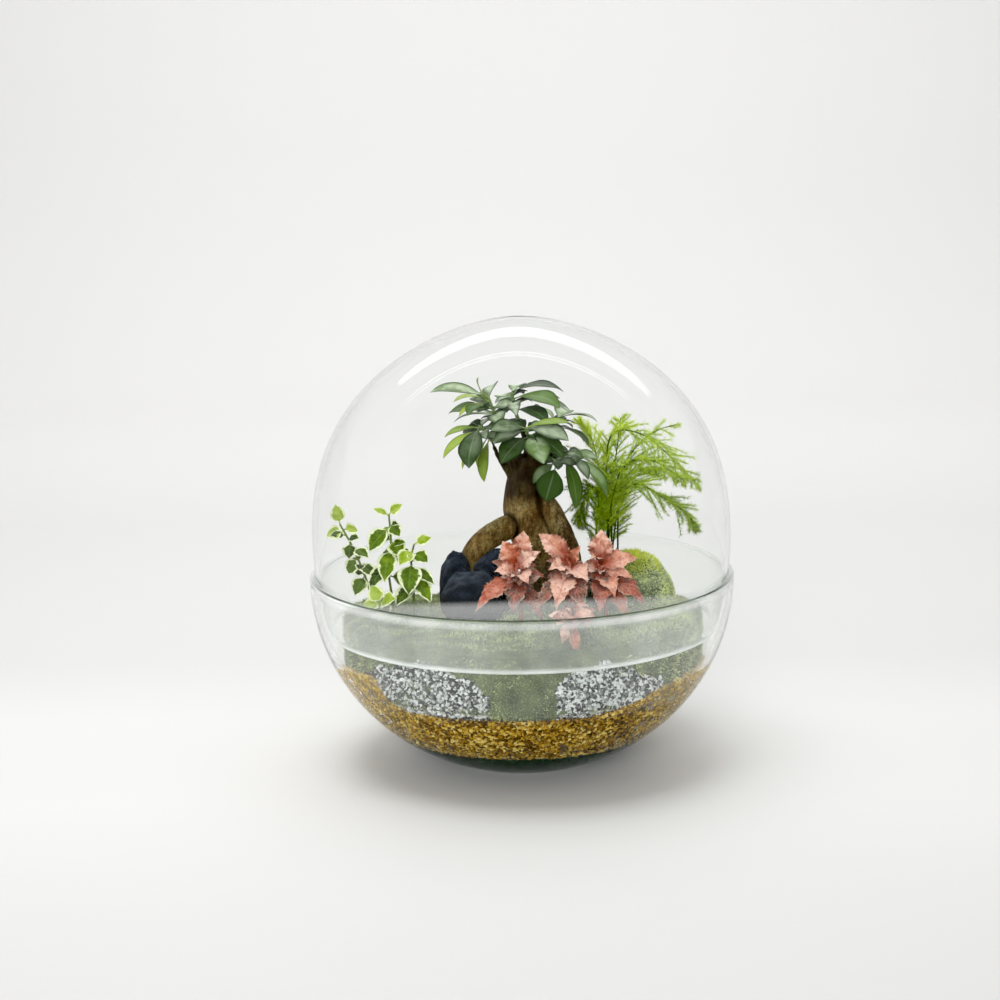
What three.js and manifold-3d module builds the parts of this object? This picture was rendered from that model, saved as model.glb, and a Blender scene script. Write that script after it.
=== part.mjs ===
// Glass plant terrarium: a glass bowl of layered ground and small plants under a glass dome.
// Millimetres, +Z up, front towards -Y. The origin is the middle of the bowl's flat base.
import * as THREE from "three";
import { mergeVertices } from "three/addons/utils/BufferGeometryUtils.js";
import Module from "manifold-3d";

const wasm = await Module();
wasm.setup();

// Driving dimensions of the glass
const RIM_RADIUS = 140;
const RIM_HEIGHT = 127;
const RIM_INNER_RADIUS = 136.5;
const BOWL_DEPTH = 133;
const BOWL_INNER_DEPTH = 126;
const BOWL_POWER = 2.05;
const FLOOR_HEIGHT = 9;
const NECK_BOTTOM = 91;
const NECK_RADIUS = 129;
const DOME_RADIUS = 137.6;
const DOME_WIDEST = 147;
const DOME_TOP = 295;
const DOME_WALL = 3.2;
const GLASS_SIDES = 28;
const LIP_CHAMFER = 0.8;

// Driving dimensions of the ground
const GAP = 0.3;
const BOTTOM_MOSS_TOP = 23;
const VERMICULITE_TOP = 57;
const GROUND_MIDDLE = 105;
const GROUND_EDGE = 102;
const GROUND_BACK_DROP = 22;
const GROUND_RADIUS = 119.5;
const WALL_CONTACT_TOP = 63;
const PUMICE_RADIUS = 120.5;
const SOIL_RADIUS = 104;
const SOIL_TAPER = 14;
const SOIL_SIDES = 12;
const MOSS_DEPTH = 9;
const STEM_DEPTH = 7;

// Driving dimensions of the plants
const BLADE = 0.7;
const SMALL_LEAF = 11.5;
const OUTER_SHARE = 0.4;
const TWIG_SIDES = 4;

const UP = new THREE.Vector3(0, 0, 1);
const vec = (point) => new THREE.Vector3(point[0], point[1], point[2]);

// A repeatable draw between 0 and 1
function draw(seed, index) {
  const value = Math.sin(seed * 12.9898 + index * 78.233) * 43758.5453;
  return value - Math.floor(value);
}

// A closed body from a geometry whose shared vertices are merged
function solidOf(geometry) {
  geometry.deleteAttribute("normal");
  geometry.deleteAttribute("uv");
  const merged = mergeVertices(geometry, 1e-4);
  const index = merged.index.array;
  const kept = [];
  for (let i = 0; i < index.length; i += 3) {
    const [a, b, c] = [index[i], index[i + 1], index[i + 2]];
    if (a !== b && b !== c && c !== a) kept.push(a, b, c);
  }
  const mesh = new wasm.Mesh({
    numProp: 3,
    vertProperties: new Float32Array(merged.attributes.position.array),
    triVerts: new Uint32Array(kept),
  });
  return new wasm.Manifold(mesh);
}

// A geometry from a list of points and a list of triangles
function shell(points, triangles) {
  const geometry = new THREE.BufferGeometry();
  geometry.setAttribute("position", new THREE.Float32BufferAttribute(points.flatMap((p) => p.toArray()), 3));
  geometry.setIndex(triangles);
  return geometry;
}

// A body through loops of equally many points, closed by a flat fan at both ends
function loft(loops) {
  const count = loops[0].length;
  const points = loops.flat();
  const triangles = [];
  for (let ring = 0; ring + 1 < loops.length; ring += 1) {
    for (let i = 0; i < count; i += 1) {
      const a = ring * count + i;
      const b = ring * count + (i + 1) % count;
      triangles.push(a, b, b + count, a, b + count, a + count);
    }
  }
  const last = (loops.length - 1) * count;
  for (let i = 1; i + 1 < count; i += 1) {
    triangles.push(0, i + 1, i);
    triangles.push(last, last + i, last + i + 1);
  }
  return solidOf(shell(points, triangles));
}

// A body turned about Z, whose profile from its lowest middle point to its highest may vary with the angle.
// A last function may move each point
function turned(profile, sides, move = () => {}) {
  const rows = profile(0).length;
  const points = [];
  for (let i = 0; i < sides; i += 1) {
    const angle = (i / sides) * 2 * Math.PI;
    profile(angle).forEach(([r, z]) => {
      points.push(new THREE.Vector3(r * Math.cos(angle), r * Math.sin(angle), z));
    });
  }
  const triangles = [];
  for (let i = 0; i < sides; i += 1) {
    const next = ((i + 1) % sides) * rows;
    for (let row = 0; row + 1 < rows; row += 1) {
      const a = i * rows + row;
      const b = next + row;
      triangles.push(a, b, b + 1, a, b + 1, a + 1);
    }
  }
  points.forEach(move);
  return solidOf(shell(points, triangles));
}

// A tapering limb along a path of points, with flat ends square to it
function limb(path, radii, sides, swell = 0) {
  const points = path.map(vec);
  let across = null;
  const loops = points.map((point, i) => {
    const before = points[Math.max(i - 1, 0)];
    const after = points[Math.min(i + 1, points.length - 1)];
    const along = after.clone().sub(before).normalize();
    if (!across) across = Math.abs(along.z) > 0.9 ? new THREE.Vector3(1, 0, 0) : UP.clone();
    across = across.clone().addScaledVector(along, -across.dot(along)).normalize();
    const over = new THREE.Vector3().crossVectors(along, across);
    const loop = [];
    for (let side = 0; side < sides; side += 1) {
      const angle = (side / sides) * 2 * Math.PI;
      const r = radii[i] + swell;
      const edge = point.clone().addScaledVector(across, r * Math.cos(angle));
      loop.push(edge.addScaledVector(over, r * Math.sin(angle)));
    }
    return loop;
  });
  if (swell > 0) {
    const start = points[0].clone().sub(points[1]).setLength(swell);
    const end = points.at(-1).clone().sub(points.at(-2)).setLength(swell);
    loops[0].forEach((p) => p.add(start));
    loops.at(-1).forEach((p) => p.add(end));
  }
  return loft(loops);
}

// Leaf outlines: places along the blade, and the half width there as a share of the widest
const LEAVES = {
  ficus: {
    rows: [[0.28, 0.72], [0.58, 1], [0.84, 0.62]],
    smallRows: [[0.32, 0.9], [0.72, 0.85]],
    arch: 0.1,
    fold: 0.16,
    wave: 0,
  },
  fittonia: {
    rows: [[0.2, 0.85], [0.38, 0.7], [0.58, 1], [0.8, 0.56]],
    smallRows: [[0.26, 0.9], [0.5, 0.72], [0.74, 0.8]],
    arch: 0.12,
    fold: 0.2,
    wave: 0.1,
  },
  fig: {
    rows: [[0.16, 0.78], [0.42, 1], [0.76, 0.62]],
    smallRows: [[0.24, 0.95], [0.64, 0.82]],
    arch: 0.08,
    fold: 0.18,
    wave: 0,
  },
};

// A leaf blade from its root to its tip, arched along the rib and folded up at both edges
function blade(root, tip, width, facing, kind, swell = 0) {
  const { arch, fold, wave } = LEAVES[kind];
  const rows = width < SMALL_LEAF ? LEAVES[kind].smallRows : LEAVES[kind].rows;
  const along = tip.clone().sub(root);
  const length = along.length() + swell;
  along.normalize();
  const normal = facing.clone().addScaledVector(along, -facing.dot(along)).normalize();
  const side = new THREE.Vector3().crossVectors(along, normal);
  const half = width / 2 + swell;
  const thick = normal.clone().multiplyScalar(BLADE / 2 + swell);
  const rib = (u) => {
    const rise = 4 * arch * length * u * (1 - u);
    return root.clone().addScaledVector(along, u * length).addScaledVector(normal, rise);
  };
  const face = [[rib(0)]];
  rows.forEach(([u, w], i) => {
    const lift = fold * w * half;
    const ripple = wave * half * (i % 2 ? 1 : -1);
    const left = rib(u).addScaledVector(side, -w * half).addScaledVector(normal, lift + ripple);
    const right = rib(u).addScaledVector(side, w * half).addScaledVector(normal, lift - ripple);
    face.push([left, rib(u), right]);
  });
  face.push([rib(1)]);
  return slab(face, thick);
}

// A thin body with the same triangles on both faces, from rows of one or three points
function slab(face, thick) {
  const flat = face.flat();
  const count = flat.length;
  const points = [...flat.map((p) => p.clone().add(thick)), ...flat.map((p) => p.clone().sub(thick))];
  const tops = [];
  const leftEdge = [];
  const rightEdge = [];
  let start = 0;
  face.forEach((row, i) => {
    leftEdge.push(start);
    rightEdge.push(start + row.length - 1);
    const next = face[i + 1];
    if (next) {
      const after = start + row.length;
      if (row.length === 1) tops.push([start, after + 1, after], [start, after + 2, after + 1]);
      else if (next.length === 1) tops.push([start, start + 1, after], [start + 1, start + 2, after]);
      else {
        tops.push([start, start + 1, after + 1], [start, after + 1, after]);
        tops.push([start + 1, start + 2, after + 2], [start + 1, after + 2, after + 1]);
      }
    }
    start += row.length;
  });
  const triangles = [];
  tops.forEach(([a, b, c]) => triangles.push(a, b, c, a + count, c + count, b + count));
  const wall = (a, b) => triangles.push(a, b, b + count, a, b + count, a + count);
  for (let i = 0; i + 1 < face.length; i += 1) {
    wall(leftEdge[i], leftEdge[i + 1]);
    wall(rightEdge[i + 1], rightEdge[i]);
  }
  return solidOf(shell(points, triangles));
}

const unite = (bodies) => bodies.reduce((all, body) => all.add(body));

// The largest connected piece, so that no loose scrap and no sealed hollow stays
function largest(body) {
  return body.decompose().sort((a, b) => b.volume() - a.volume())[0];
}

const model = new THREE.Group();

function addMesh(name, body, color, roughness, opacity = 1) {
  const mesh = body.getMesh();
  const geometry = new THREE.BufferGeometry();
  const positions = new Float32Array(mesh.numVert * 3);
  for (let i = 0; i < mesh.numVert; i += 1) {
    for (let axis = 0; axis < 3; axis += 1) {
      positions[3 * i + axis] = mesh.vertProperties[i * mesh.numProp + axis];
    }
  }
  geometry.setAttribute("position", new THREE.BufferAttribute(positions, 3));
  geometry.setIndex(new THREE.BufferAttribute(new Uint32Array(mesh.triVerts), 1));
  geometry.computeVertexNormals();
  const material = new THREE.MeshStandardMaterial({ color, roughness, metalness: 0 });
  if (opacity < 1) {
    material.transparent = true;
    material.opacity = opacity;
  }
  const part = new THREE.Mesh(geometry, material);
  part.name = name;
  model.add(part);
}

// Glass

const BOWL_LEVELS = [0, 6, 15, 28, 45, 64, 84, 105];
const BOWL_INNER_LEVELS = [FLOOR_HEIGHT, 17, 29, 45, 64, 84, 105];

function superRound(radius, depth, z) {
  const drop = (RIM_HEIGHT - z) / depth;
  return radius * (1 - drop ** BOWL_POWER) ** (1 / BOWL_POWER);
}

const BOWL_INNER = [
  ...BOWL_INNER_LEVELS.map((z) => [superRound(RIM_INNER_RADIUS, BOWL_INNER_DEPTH, z), z]),
  [RIM_INNER_RADIUS, RIM_HEIGHT - LIP_CHAMFER],
];

// Radius of the bowl's inner face at a height, along its straight facets
function bowlInside(z) {
  for (let i = 0; i + 1 < BOWL_INNER.length; i += 1) {
    const [r0, z0] = BOWL_INNER[i];
    const [r1, z1] = BOWL_INNER[i + 1];
    if (z <= z1) return r0 + ((r1 - r0) * (z - z0)) / (z1 - z0);
  }
  return RIM_INNER_RADIUS;
}

// How much nearer the axis a flat facet of the glass lies than its corners, at an angle
function facetShare(angle) {
  const half = Math.PI / GLASS_SIDES;
  const past = angle - 2 * half * Math.floor(angle / (2 * half));
  return Math.cos(half) / Math.cos(past - half);
}

function domeOutside(z) {
  if (z < DOME_WIDEST) {
    const drop = (DOME_WIDEST - z) / (DOME_WIDEST - NECK_BOTTOM);
    return DOME_RADIUS - (DOME_RADIUS - NECK_RADIUS) * drop ** 1.9;
  }
  const rise = (z - DOME_WIDEST) / (DOME_TOP - DOME_WIDEST);
  return DOME_RADIUS * (1 - rise ** 2.45) ** (1 / 1.72);
}

const DOME_LEVELS = [NECK_BOTTOM, 108, 127, 147, 176, 205, 229, 250, 269, 285];

// The dome's outer profile moved inwards by a distance, up to the axis
function domeProfile(inset) {
  const points = DOME_LEVELS.map((z) => {
    const low = Math.max(z - 1, NECK_BOTTOM);
    const slope = (domeOutside(z + 1) - domeOutside(low)) / (z + 1 - low);
    const scale = inset / Math.hypot(1, slope);
    return [domeOutside(z) - scale, z + slope * scale];
  });
  points[0][1] = NECK_BOTTOM;
  points.push([0, DOME_TOP - inset]);
  return points;
}

function lathe(profile) {
  const points = profile.map(([r, z]) => new THREE.Vector2(r, z));
  const geometry = new THREE.LatheGeometry(points, GLASS_SIDES);
  geometry.rotateX(Math.PI / 2);
  return solidOf(geometry);
}

function makeBowl() {
  const outer = BOWL_LEVELS.map((z) => [superRound(RIM_RADIUS, BOWL_DEPTH, z), z]);
  const lip = [
    [RIM_RADIUS, RIM_HEIGHT - LIP_CHAMFER],
    [RIM_RADIUS - LIP_CHAMFER, RIM_HEIGHT],
    [RIM_INNER_RADIUS + LIP_CHAMFER, RIM_HEIGHT],
  ];
  return lathe([[0, 0], ...outer, ...lip, ...BOWL_INNER.toReversed(), [0, FLOOR_HEIGHT]]);
}

function makeDome() {
  return lathe([...domeProfile(0), ...domeProfile(DOME_WALL).toReversed(), [NECK_RADIUS, NECK_BOTTOM]]);
}

// The air that plants may fill: inside the dome and its neck, a little clear of the glass
function makeRoom() {
  return lathe([[0, NECK_BOTTOM], ...domeProfile(DOME_WALL + 1)]);
}

// Ground

// A rounded rise of the ground about a middle point
function rise(x, y, middleX, middleY, spanX, spanY, height) {
  const away = ((x - middleX) / spanX) ** 2 + ((y - middleY) / spanY) ** 2;
  return height * Math.exp(-away);
}

// Height of the moss carpet
function ground(x, y) {
  const r = Math.min(Math.hypot(x, y) / GROUND_RADIUS, 1);
  const slope = GROUND_EDGE + (GROUND_MIDDLE - GROUND_EDGE) * (1 - r * r);
  const hill = rise(x, y, 28, -84, 46, 22, 5);
  const fall = GROUND_BACK_DROP * (Math.max(y, 0) / GROUND_RADIUS) ** 1.3;
  const lumps = 1.1 * Math.sin(x / 9 + 1) * Math.sin(y / 8 + 2);
  const bumps = 0.7 * Math.sin(x / 4.3) * Math.sin(y / 5.1 + 1);
  return slope + hill - fall + lumps + bumps;
}

// Layer between two heights that follows the inner face of the bowl
function wallRings(low, high, steps) {
  const rings = [];
  for (let i = 0; i <= steps; i += 1) {
    const z = low + ((high - low) * i) / steps;
    rings.push([bowlInside(z) - GAP, z]);
  }
  return rings;
}

function makeBottomMoss() {
  const rings = wallRings(FLOOR_HEIGHT + GAP, BOTTOM_MOSS_TOP, 2);
  return turned(() => [[0, FLOOR_HEIGHT + GAP], ...rings, [0, BOTTOM_MOSS_TOP]], GLASS_SIDES);
}

function makeVermiculite() {
  const low = BOTTOM_MOSS_TOP + GAP;
  const rings = wallRings(low, VERMICULITE_TOP, 3);
  return turned(() => [[0, low], ...rings, [0, VERMICULITE_TOP]], GLASS_SIDES);
}

const SOIL_BOTTOM = VERMICULITE_TOP + GAP;

function makeSoil(swell) {
  const reach = SOIL_RADIUS + swell;
  const rings = [reach, SOIL_RADIUS * 0.58];
  const top = (angle, r) => [r, ground(r * Math.cos(angle), r * Math.sin(angle)) - MOSS_DEPTH + swell];
  return turned((angle) => {
    const surface = rings.map((r) => top(angle, r));
    const base = [[0, SOIL_BOTTOM - swell], [reach - SOIL_TAPER, SOIL_BOTTOM - swell]];
    return [...base, ...surface, [0, top(0, 0)[1]]];
  }, SOIL_SIDES);
}

// The whole moss body before its hollows are cut, its top raised by a distance
function makeMossBody(raise) {
  const rings = [104, 76, 40];
  return turned((angle) => {
    const at = (r) => [r, ground(r * Math.cos(angle), r * Math.sin(angle)) + raise];
    const wall = wallRings(SOIL_BOTTOM, WALL_CONTACT_TOP, 1);
    const brow = [GROUND_RADIUS, at(GROUND_RADIUS)[1] - 5];
    const edge = [GROUND_RADIUS - 3, at(GROUND_RADIUS)[1]];
    return [[0, SOIL_BOTTOM], ...wall, brow, edge, ...rings.map(at), [0, ground(0, 0) + raise]];
  }, GLASS_SIDES);
}

// Pumice against the wall between two angles. Lean moves its highest part towards one end
const PUMICE = [
  { name: "pumice_left", from: 206, to: 260, top: 91, depth: 16, lean: 1.5 },
  { name: "pumice_right", from: 280, to: 316, top: 92, depth: 15, lean: 0.6 },
];
const PUMICE_STEP = 9;

function makePumice({ from, to, top, depth, lean }, swell) {
  const loops = [];
  for (let degrees = from; degrees <= to + 0.01; degrees += PUMICE_STEP) {
    const share = ((degrees - from) / (to - from)) ** lean;
    const end = Math.sin(Math.PI * Math.min(Math.max(share, 0.06), 0.94)) ** 0.4;
    const height = SOIL_BOTTOM + (top - SOIL_BOTTOM) * end + swell;
    const thick = 4 + depth * end + swell;
    const out = swell > 0 ? 1 : 0;
    const low = SOIL_BOTTOM - out;
    const angle = THREE.MathUtils.degToRad(degrees);
    const wallRadius = (z) => Math.min((bowlInside(z) - GAP) * facetShare(angle), PUMICE_RADIUS);
    const wall = [0, 0.34, 0.67, 1].map((s) => {
      const z = low + (height - low) * s;
      return [wallRadius(z) + out, z];
    });
    const crest = [wallRadius(height) - 0.55 * thick, height - 1.5];
    const section = [...wall, crest, [wallRadius(SOIL_BOTTOM) - thick - 1.6 * out, low]];
    loops.push(section.map(([r, z]) => new THREE.Vector3(r * Math.cos(angle), r * Math.sin(angle), z)));
  }
  if (swell > 0) {
    const widen = THREE.MathUtils.degToRad(0.2);
    loops[0].forEach((p) => p.applyAxisAngle(UP, -widen));
    loops.at(-1).forEach((p) => p.applyAxisAngle(UP, widen));
  }
  return loft(loops.toReversed());
}

// A lump with a bumpy surface: a ball of rings stretched to three half sizes
function lump(middle, half, seed, rough, rings, sides, swell = 0) {
  const place = (p) => p.set(...[p.x, p.y, p.z].map((value, k) => middle[k] + value * (half[k] + swell)));
  return turned((angle) => {
    const profile = [];
    for (let ring = 0; ring <= rings; ring += 1) {
      const tilt = (ring / rings) * Math.PI;
      const phase = seed + 2.1 * Math.sin(2 * angle + seed);
      const bump = 1 + rough * Math.sin(3 * angle + phase + tilt * 2) * Math.sin(tilt * 4 + seed);
      profile.push([Math.sin(tilt) * bump, -Math.cos(tilt) * (1 + rough * 0.3 * Math.sin(seed))]);
    }
    profile[0][0] = 0;
    profile[rings][0] = 0;
    return profile;
  }, sides, place);
}

const MOUND = { middle: [72.5, 2, 96], half: [31, 34, 41], seed: 1.3, rough: 0.035, rings: 8, sides: 16 };
const STONES = [
  { name: "lava_stone_front", middle: [-32, -38, 116], half: [19, 13, 18], seed: 0.6 },
  { name: "lava_stone_left", middle: [-43, -24, 119], half: [10, 9, 24], seed: 2.2 },
  { name: "lava_stone_back", middle: [-18, -25, 124], half: [13, 7.5, 21], seed: 4.1 },
];
const STONE_ROUGH = 0.14;
const STONE_RINGS = 5;
const STONE_SIDES = 7;

function makeMound(swell) {
  const { middle, half, seed, rough, rings, sides } = MOUND;
  return lump(middle, half, seed, rough, rings, sides, swell);
}

function makeStone({ middle, half, seed }, swell = 0) {
  return lump(middle, half, seed, STONE_ROUGH, STONE_RINGS, STONE_SIDES, swell);
}

// Ficus ginseng

// Each limb: the points of its middle line, and its radius at each of them
const TRUNK_SIDES = 8;
const BRANCH_SIDES = 4;
const TRUNK_LIMBS = [
  {
    path: [
      [15, 5, 92], [14, 4, 116], [11, 4, 142], [7, 4, 158],
      [5, 5, 171], [4.5, 5, 183], [5.5, 5, 193], [6, 5, 200],
    ],
    radii: [11, 12.5, 15, 17, 16.4, 13.8, 11, 8.5],
  },
  {
    path: [
      [0, 0, 158], [-11, -6, 156], [-22, -9, 150], [-31, -10, 140],
      [-37, -10, 126], [-39, -10, 110], [-39, -10, 92],
    ],
    radii: [7.4, 7.8, 8, 7.8, 7.2, 6, 4],
  },
  {
    path: [
      [12, -2, 182], [19, -7, 169], [26, -10, 156], [31, -12, 143],
      [34, -13, 128], [35, -13, 112], [35, -13, 92],
    ],
    radii: [5, 6.6, 7, 6.6, 5.8, 5, 4],
  },
  {
    path: [[8, 12, 165], [10, 22, 148], [10, 28, 128], [10, 30, 112], [10, 30, 90]],
    radii: [7, 7, 6.4, 5.6, 4.5],
  },
  { path: [[1, 3, 192], [-5, 2, 201], [-7, 2, 205]], radii: [5.5, 4.6, 4] },
  { path: [[11, 4, 192], [14, 3, 202], [15, 3, 206]], radii: [5.5, 4.8, 4.2] },
];

// Branches, each ending where a leafy shoot begins
const BRANCHES = {
  side: { path: [[-3, 4, 184], [-14, 0, 203], [-18, -6, 214]], radii: [2.4, 1.8, 1.4] },
  topLeft: { path: [[2, 5, 196], [-6, 5, 212], [-13, 3, 224]], radii: [3.2, 2.2, 1.6] },
  topRight: { path: [[6, 6, 196], [4, 9, 212], [-1, 11, 226]], radii: [3, 2.2, 1.6] },
  front: { path: [[7, 3, 198], [8, -6, 208], [7, -12, 214]], radii: [2.6, 2, 1.5] },
  right: { path: [[10, 5, 197], [18, 0, 203], [24, -7, 206]], radii: [2.6, 2, 1.4] },
  lowRight: { path: [[13, 3, 198], [18, -6, 201], [21, -13, 202]], radii: [2.2, 1.8, 1.3] },
  backLeft: { path: [[2, 8, 196], [-6, 18, 208], [-10, 25, 214]], radii: [2.6, 2, 1.5] },
  backRight: { path: [[8, 9, 196], [16, 20, 208], [20, 26, 214]], radii: [2.6, 2, 1.5] },
};

function makeTrunk(swell) {
  const limbs = TRUNK_LIMBS.map(({ path, radii }) => limb(path, radii, TRUNK_SIDES, swell));
  const branches = Object.values(BRANCHES).map(({ path, radii }) => limb(path, radii, BRANCH_SIDES, swell));
  return unite([...limbs, ...branches]);
}

// Leafy shoots. A leaf says where on its twig it grows, from 0 to 1, where its tip is, and its width
const FICUS_SHOOTS = [
  {
    name: "ficus_shoot_top_left",
    branch: "topLeft",
    twig: [[-17, 2, 233], [-20, 0, 242]],
    leaves: [
      [0.95, -58, 2, 247, 13], [1, -27, -8, 256, 6], [0.55, -33, -30, 236, 13], [0.8, -42, -18, 243, 7],
      [0.7, -39, -22, 234, 7], [0.2, -12, -28, 229, 13], [0.9, -16, 24, 248, 12], [0.6, -30, 26, 240, 13],
      [0.35, -47, 14, 231, 12],
    ],
  },
  {
    name: "ficus_shoot_top_right",
    branch: "topRight",
    twig: [[-4, 12, 236], [-5, 11, 244]],
    leaves: [
      [1, 29, 12, 245, 17], [0.7, 26, -16, 238, 17], [0.9, 2, 38, 244, 12], [0.4, 27, 30, 238, 13],
      [0.45, -2, -22, 234, 9], [0.2, 18, -22, 229, 14], [0.6, 34, 2, 232, 13], [0.3, -14, 40, 238, 12],
    ],
  },
  {
    name: "ficus_shoot_left",
    branch: "side",
    twig: [[-22, -12, 221], [-26, -18, 226]],
    leaves: [
      [0.95, -33, -40, 203, 17], [0.7, -50, -24, 207, 8], [0.85, -49, -13, 219, 6], [0.4, -38, -20, 199, 6],
      [0.1, -24, -20, 190, 8], [0.2, -28, -10, 197, 5],
    ],
  },
  {
    name: "ficus_shoot_front",
    branch: "front",
    twig: [[5, -18, 220], [4, -23, 225]],
    leaves: [
      [0.95, -18, -36, 226, 13], [0.8, -17, -30, 217, 12], [0.9, 31, -34, 219, 15], [1, 32, -26, 229, 6],
      [0.3, -12, -36, 205, 16], [0.4, 15, -44, 206, 17], [0.5, 28, -36, 208, 13],
    ],
  },
  {
    name: "ficus_shoot_right",
    branch: "right",
    twig: [[30, -12, 206], [34, -13, 205]],
    leaves: [[1, 57, -20, 179, 12], [0.8, 51, -8, 202, 9], [0.3, 36, -24, 172, 12], [0.7, 44, -26, 192, 9]],
  },
  {
    name: "ficus_shoot_low_right",
    branch: "lowRight",
    twig: [[23, -19, 202], [23, -22, 200]],
    leaves: [[1, 16, -33, 179, 18], [0.5, 8, -27, 190, 9]],
  },
  {
    name: "ficus_shoot_back_left",
    branch: "backLeft",
    twig: [[-13, 32, 220], [-15, 36, 224]],
    leaves: [
      [1, -44, 38, 222, 14], [0.8, -18, 66, 222, 14], [0.5, -34, 50, 206, 13], [0.6, 2, 54, 214, 13],
      [0.3, -38, 22, 210, 12],
    ],
  },
  {
    name: "ficus_shoot_back_right",
    branch: "backRight",
    twig: [[24, 31, 219], [26, 34, 223]],
    leaves: [
      [1, 52, 30, 222, 13], [0.8, 32, 62, 224, 14], [0.4, 44, 44, 206, 12], [0.6, 10, 48, 230, 11],
      [0.3, 46, 14, 208, 12],
    ],
  },
];

// Fittonia: leafy stems with jagged leaves, standing in the hill in front of the trunk
const FITTONIA_SHOOTS = [
  {
    name: "fittonia_left",
    twig: [[0, -60, 0], [-1, -60, 124], [-3, -57, 136], [-3, -55, 143]],
    leaves: [
      [1, 2, -42, 162, 13], [0.93, -12, -50, 157, 14], [0.86, 12, -60, 152, 12], [0.78, -14, -42, 147, 11],
      [0.7, -17, -62, 140, 13], [0.62, 4, -79, 136, 14], [0.5, -29, -78, 119, 14], [0.38, -6, -84, 118, 14],
      [0.24, 13, -78, 112, 12],
    ],
  },
  {
    name: "fittonia_middle",
    twig: [[27, -63, 0], [28, -62, 126], [30, -60, 138], [31, -58, 145]],
    leaves: [
      [1, 11, -48, 161, 14], [0.93, 37, -64, 156, 9], [0.86, 24, -40, 152, 11], [0.79, 17, -72, 143, 13],
      [0.72, 41, -79, 137, 15], [0.6, 21, -89, 122, 16], [0.48, 38, -90, 120, 15], [0.36, 8, -88, 121, 12],
      [0.24, 34, -84, 111, 12],
    ],
  },
  {
    name: "fittonia_right",
    twig: [[54, -57, 0], [53, -57, 124], [50, -55, 136], [49, -54, 142]],
    leaves: [
      [1, 51, -47, 163, 16], [0.93, 43, -73, 150, 9], [0.86, 74, -51, 145, 14], [0.79, 62, -36, 147, 11],
      [0.71, 70, -64, 135, 12], [0.62, 58, -79, 127, 14], [0.5, 77, -72, 120, 15], [0.38, 48, -86, 119, 14],
      [0.24, 66, -82, 112, 12],
    ],
  },
  {
    name: "fittonia_trailing",
    twig: [[31, -92, 0], [31, -93, 113], [31, -97, 118], [29, -102, 117]],
    leaves: [
      [1, 24, -107, 104, 7], [0.95, 33, -109, 96, 7], [0.8, 18, -100, 120, 8], [0.9, 45, -101, 120, 9],
    ],
  },
];

// Creeping fig: upright stems with small pale edged leaves
const FIG_STEMS = [
  {
    name: "creeping_fig_left",
    twig: [[-98, -24, 0], [-98, -24, 114], [-103, -24, 132], [-110, -20, 148], [-118, -16, 162]],
    leaves: [
      [1, -121, -14, 175, 10], [0.9, -127, -18, 155, 12], [0.93, -107, -10, 157, 9],
      [0.75, -112, -24, 141, 10], [0.65, -99, -30, 143, 9], [0.55, -113, -20, 130, 10],
      [0.45, -95, -34, 131, 10], [0.3, -108, -34, 119, 11],
    ],
  },
  {
    name: "creeping_fig_tall",
    twig: [[-84, -32, 0], [-84, -32, 114], [-86, -31, 134], [-84, -31, 152], [-85, -30, 171]],
    leaves: [
      [1, -76, -32, 178, 8], [0.99, -95, -30, 175, 5], [0.88, -78, -36, 158, 10], [0.86, -98, -34, 148, 14],
      [0.7, -77, -38, 145, 13], [0.62, -88, -44, 130, 13], [0.75, -86, -14, 160, 11],
      [0.5, -76, -18, 138, 11],
      [0.45, -98, -40, 124, 11], [0.3, -74, -22, 122, 11],
    ],
  },
  {
    name: "creeping_fig_right",
    twig: [[-70, -36, 0], [-70, -36, 114], [-70, -38, 130], [-71, -36, 143], [-69, -34, 152]],
    leaves: [
      [1, -58, -32, 156, 8], [0.9, -78, -44, 141, 12], [0.85, -60, -42, 142, 11], [0.7, -72, -54, 124, 16],
      [0.6, -56, -48, 129, 9], [0.45, -58, -54, 119, 12], [0.3, -80, -54, 117, 11],
    ],
  },
  {
    name: "creeping_fig_low",
    twig: [[-90, -52, 0], [-90, -52, 108], [-90, -53, 114], [-90, -53, 118]],
    leaves: [
      [1, -96, -50, 129, 11], [0.95, -80, -62, 123, 13], [0.9, -101, -56, 116, 11], [0.8, -86, -68, 112, 12],
    ],
  },
];
const STEM_RADII = { ficus: [1.4, 0.9], fittonia: [1.3, 0.9], fig: [0.9, 0.6] };

// The twig's points. A ground stem's first point goes down into a plain hole
function twigPath(shoot) {
  if (shoot.branch) {
    const ends = BRANCHES[shoot.branch].path.map(vec);
    const along = ends.at(-1).clone().sub(ends.at(-2)).normalize();
    const start = ends.at(-1).clone().addScaledVector(along, GAP);
    return [start.toArray(), start.clone().addScaledVector(along, 2).toArray(), ...shoot.twig];
  }
  const [x, y] = shoot.twig[1];
  return [[x, y, ground(x, y) - STEM_DEPTH], ...shoot.twig.slice(1)];
}

function alongPath(path, share) {
  const curve = new THREE.CurvePath();
  for (let i = 0; i + 1 < path.length; i += 1) {
    curve.add(new THREE.LineCurve3(vec(path[i]), vec(path[i + 1])));
  }
  return curve.getPointAt(share);
}

function taper(count, [first, last]) {
  return Array.from({ length: count }, (_, i) => first + ((last - first) * i) / (count - 1));
}

// Turns and lifts that a leaf tries, in degrees, until nothing is in its way
const BENDS = [
  [0, 0], [9, 0], [-9, 0], [0, 9], [0, -9], [17, 0], [-17, 0], [0, 17],
  [12, 12], [-12, 12], [12, -12], [-12, -12], [27, 0], [-27, 0], [0, 27],
  [20, 20], [-20, 20], [36, 10], [-36, 10], [0, 40],
];

// What is in place so far: bodies swelled by the gap that has to stay free, and whose each one is
const obstacles = [];
const room = makeRoom();

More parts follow.
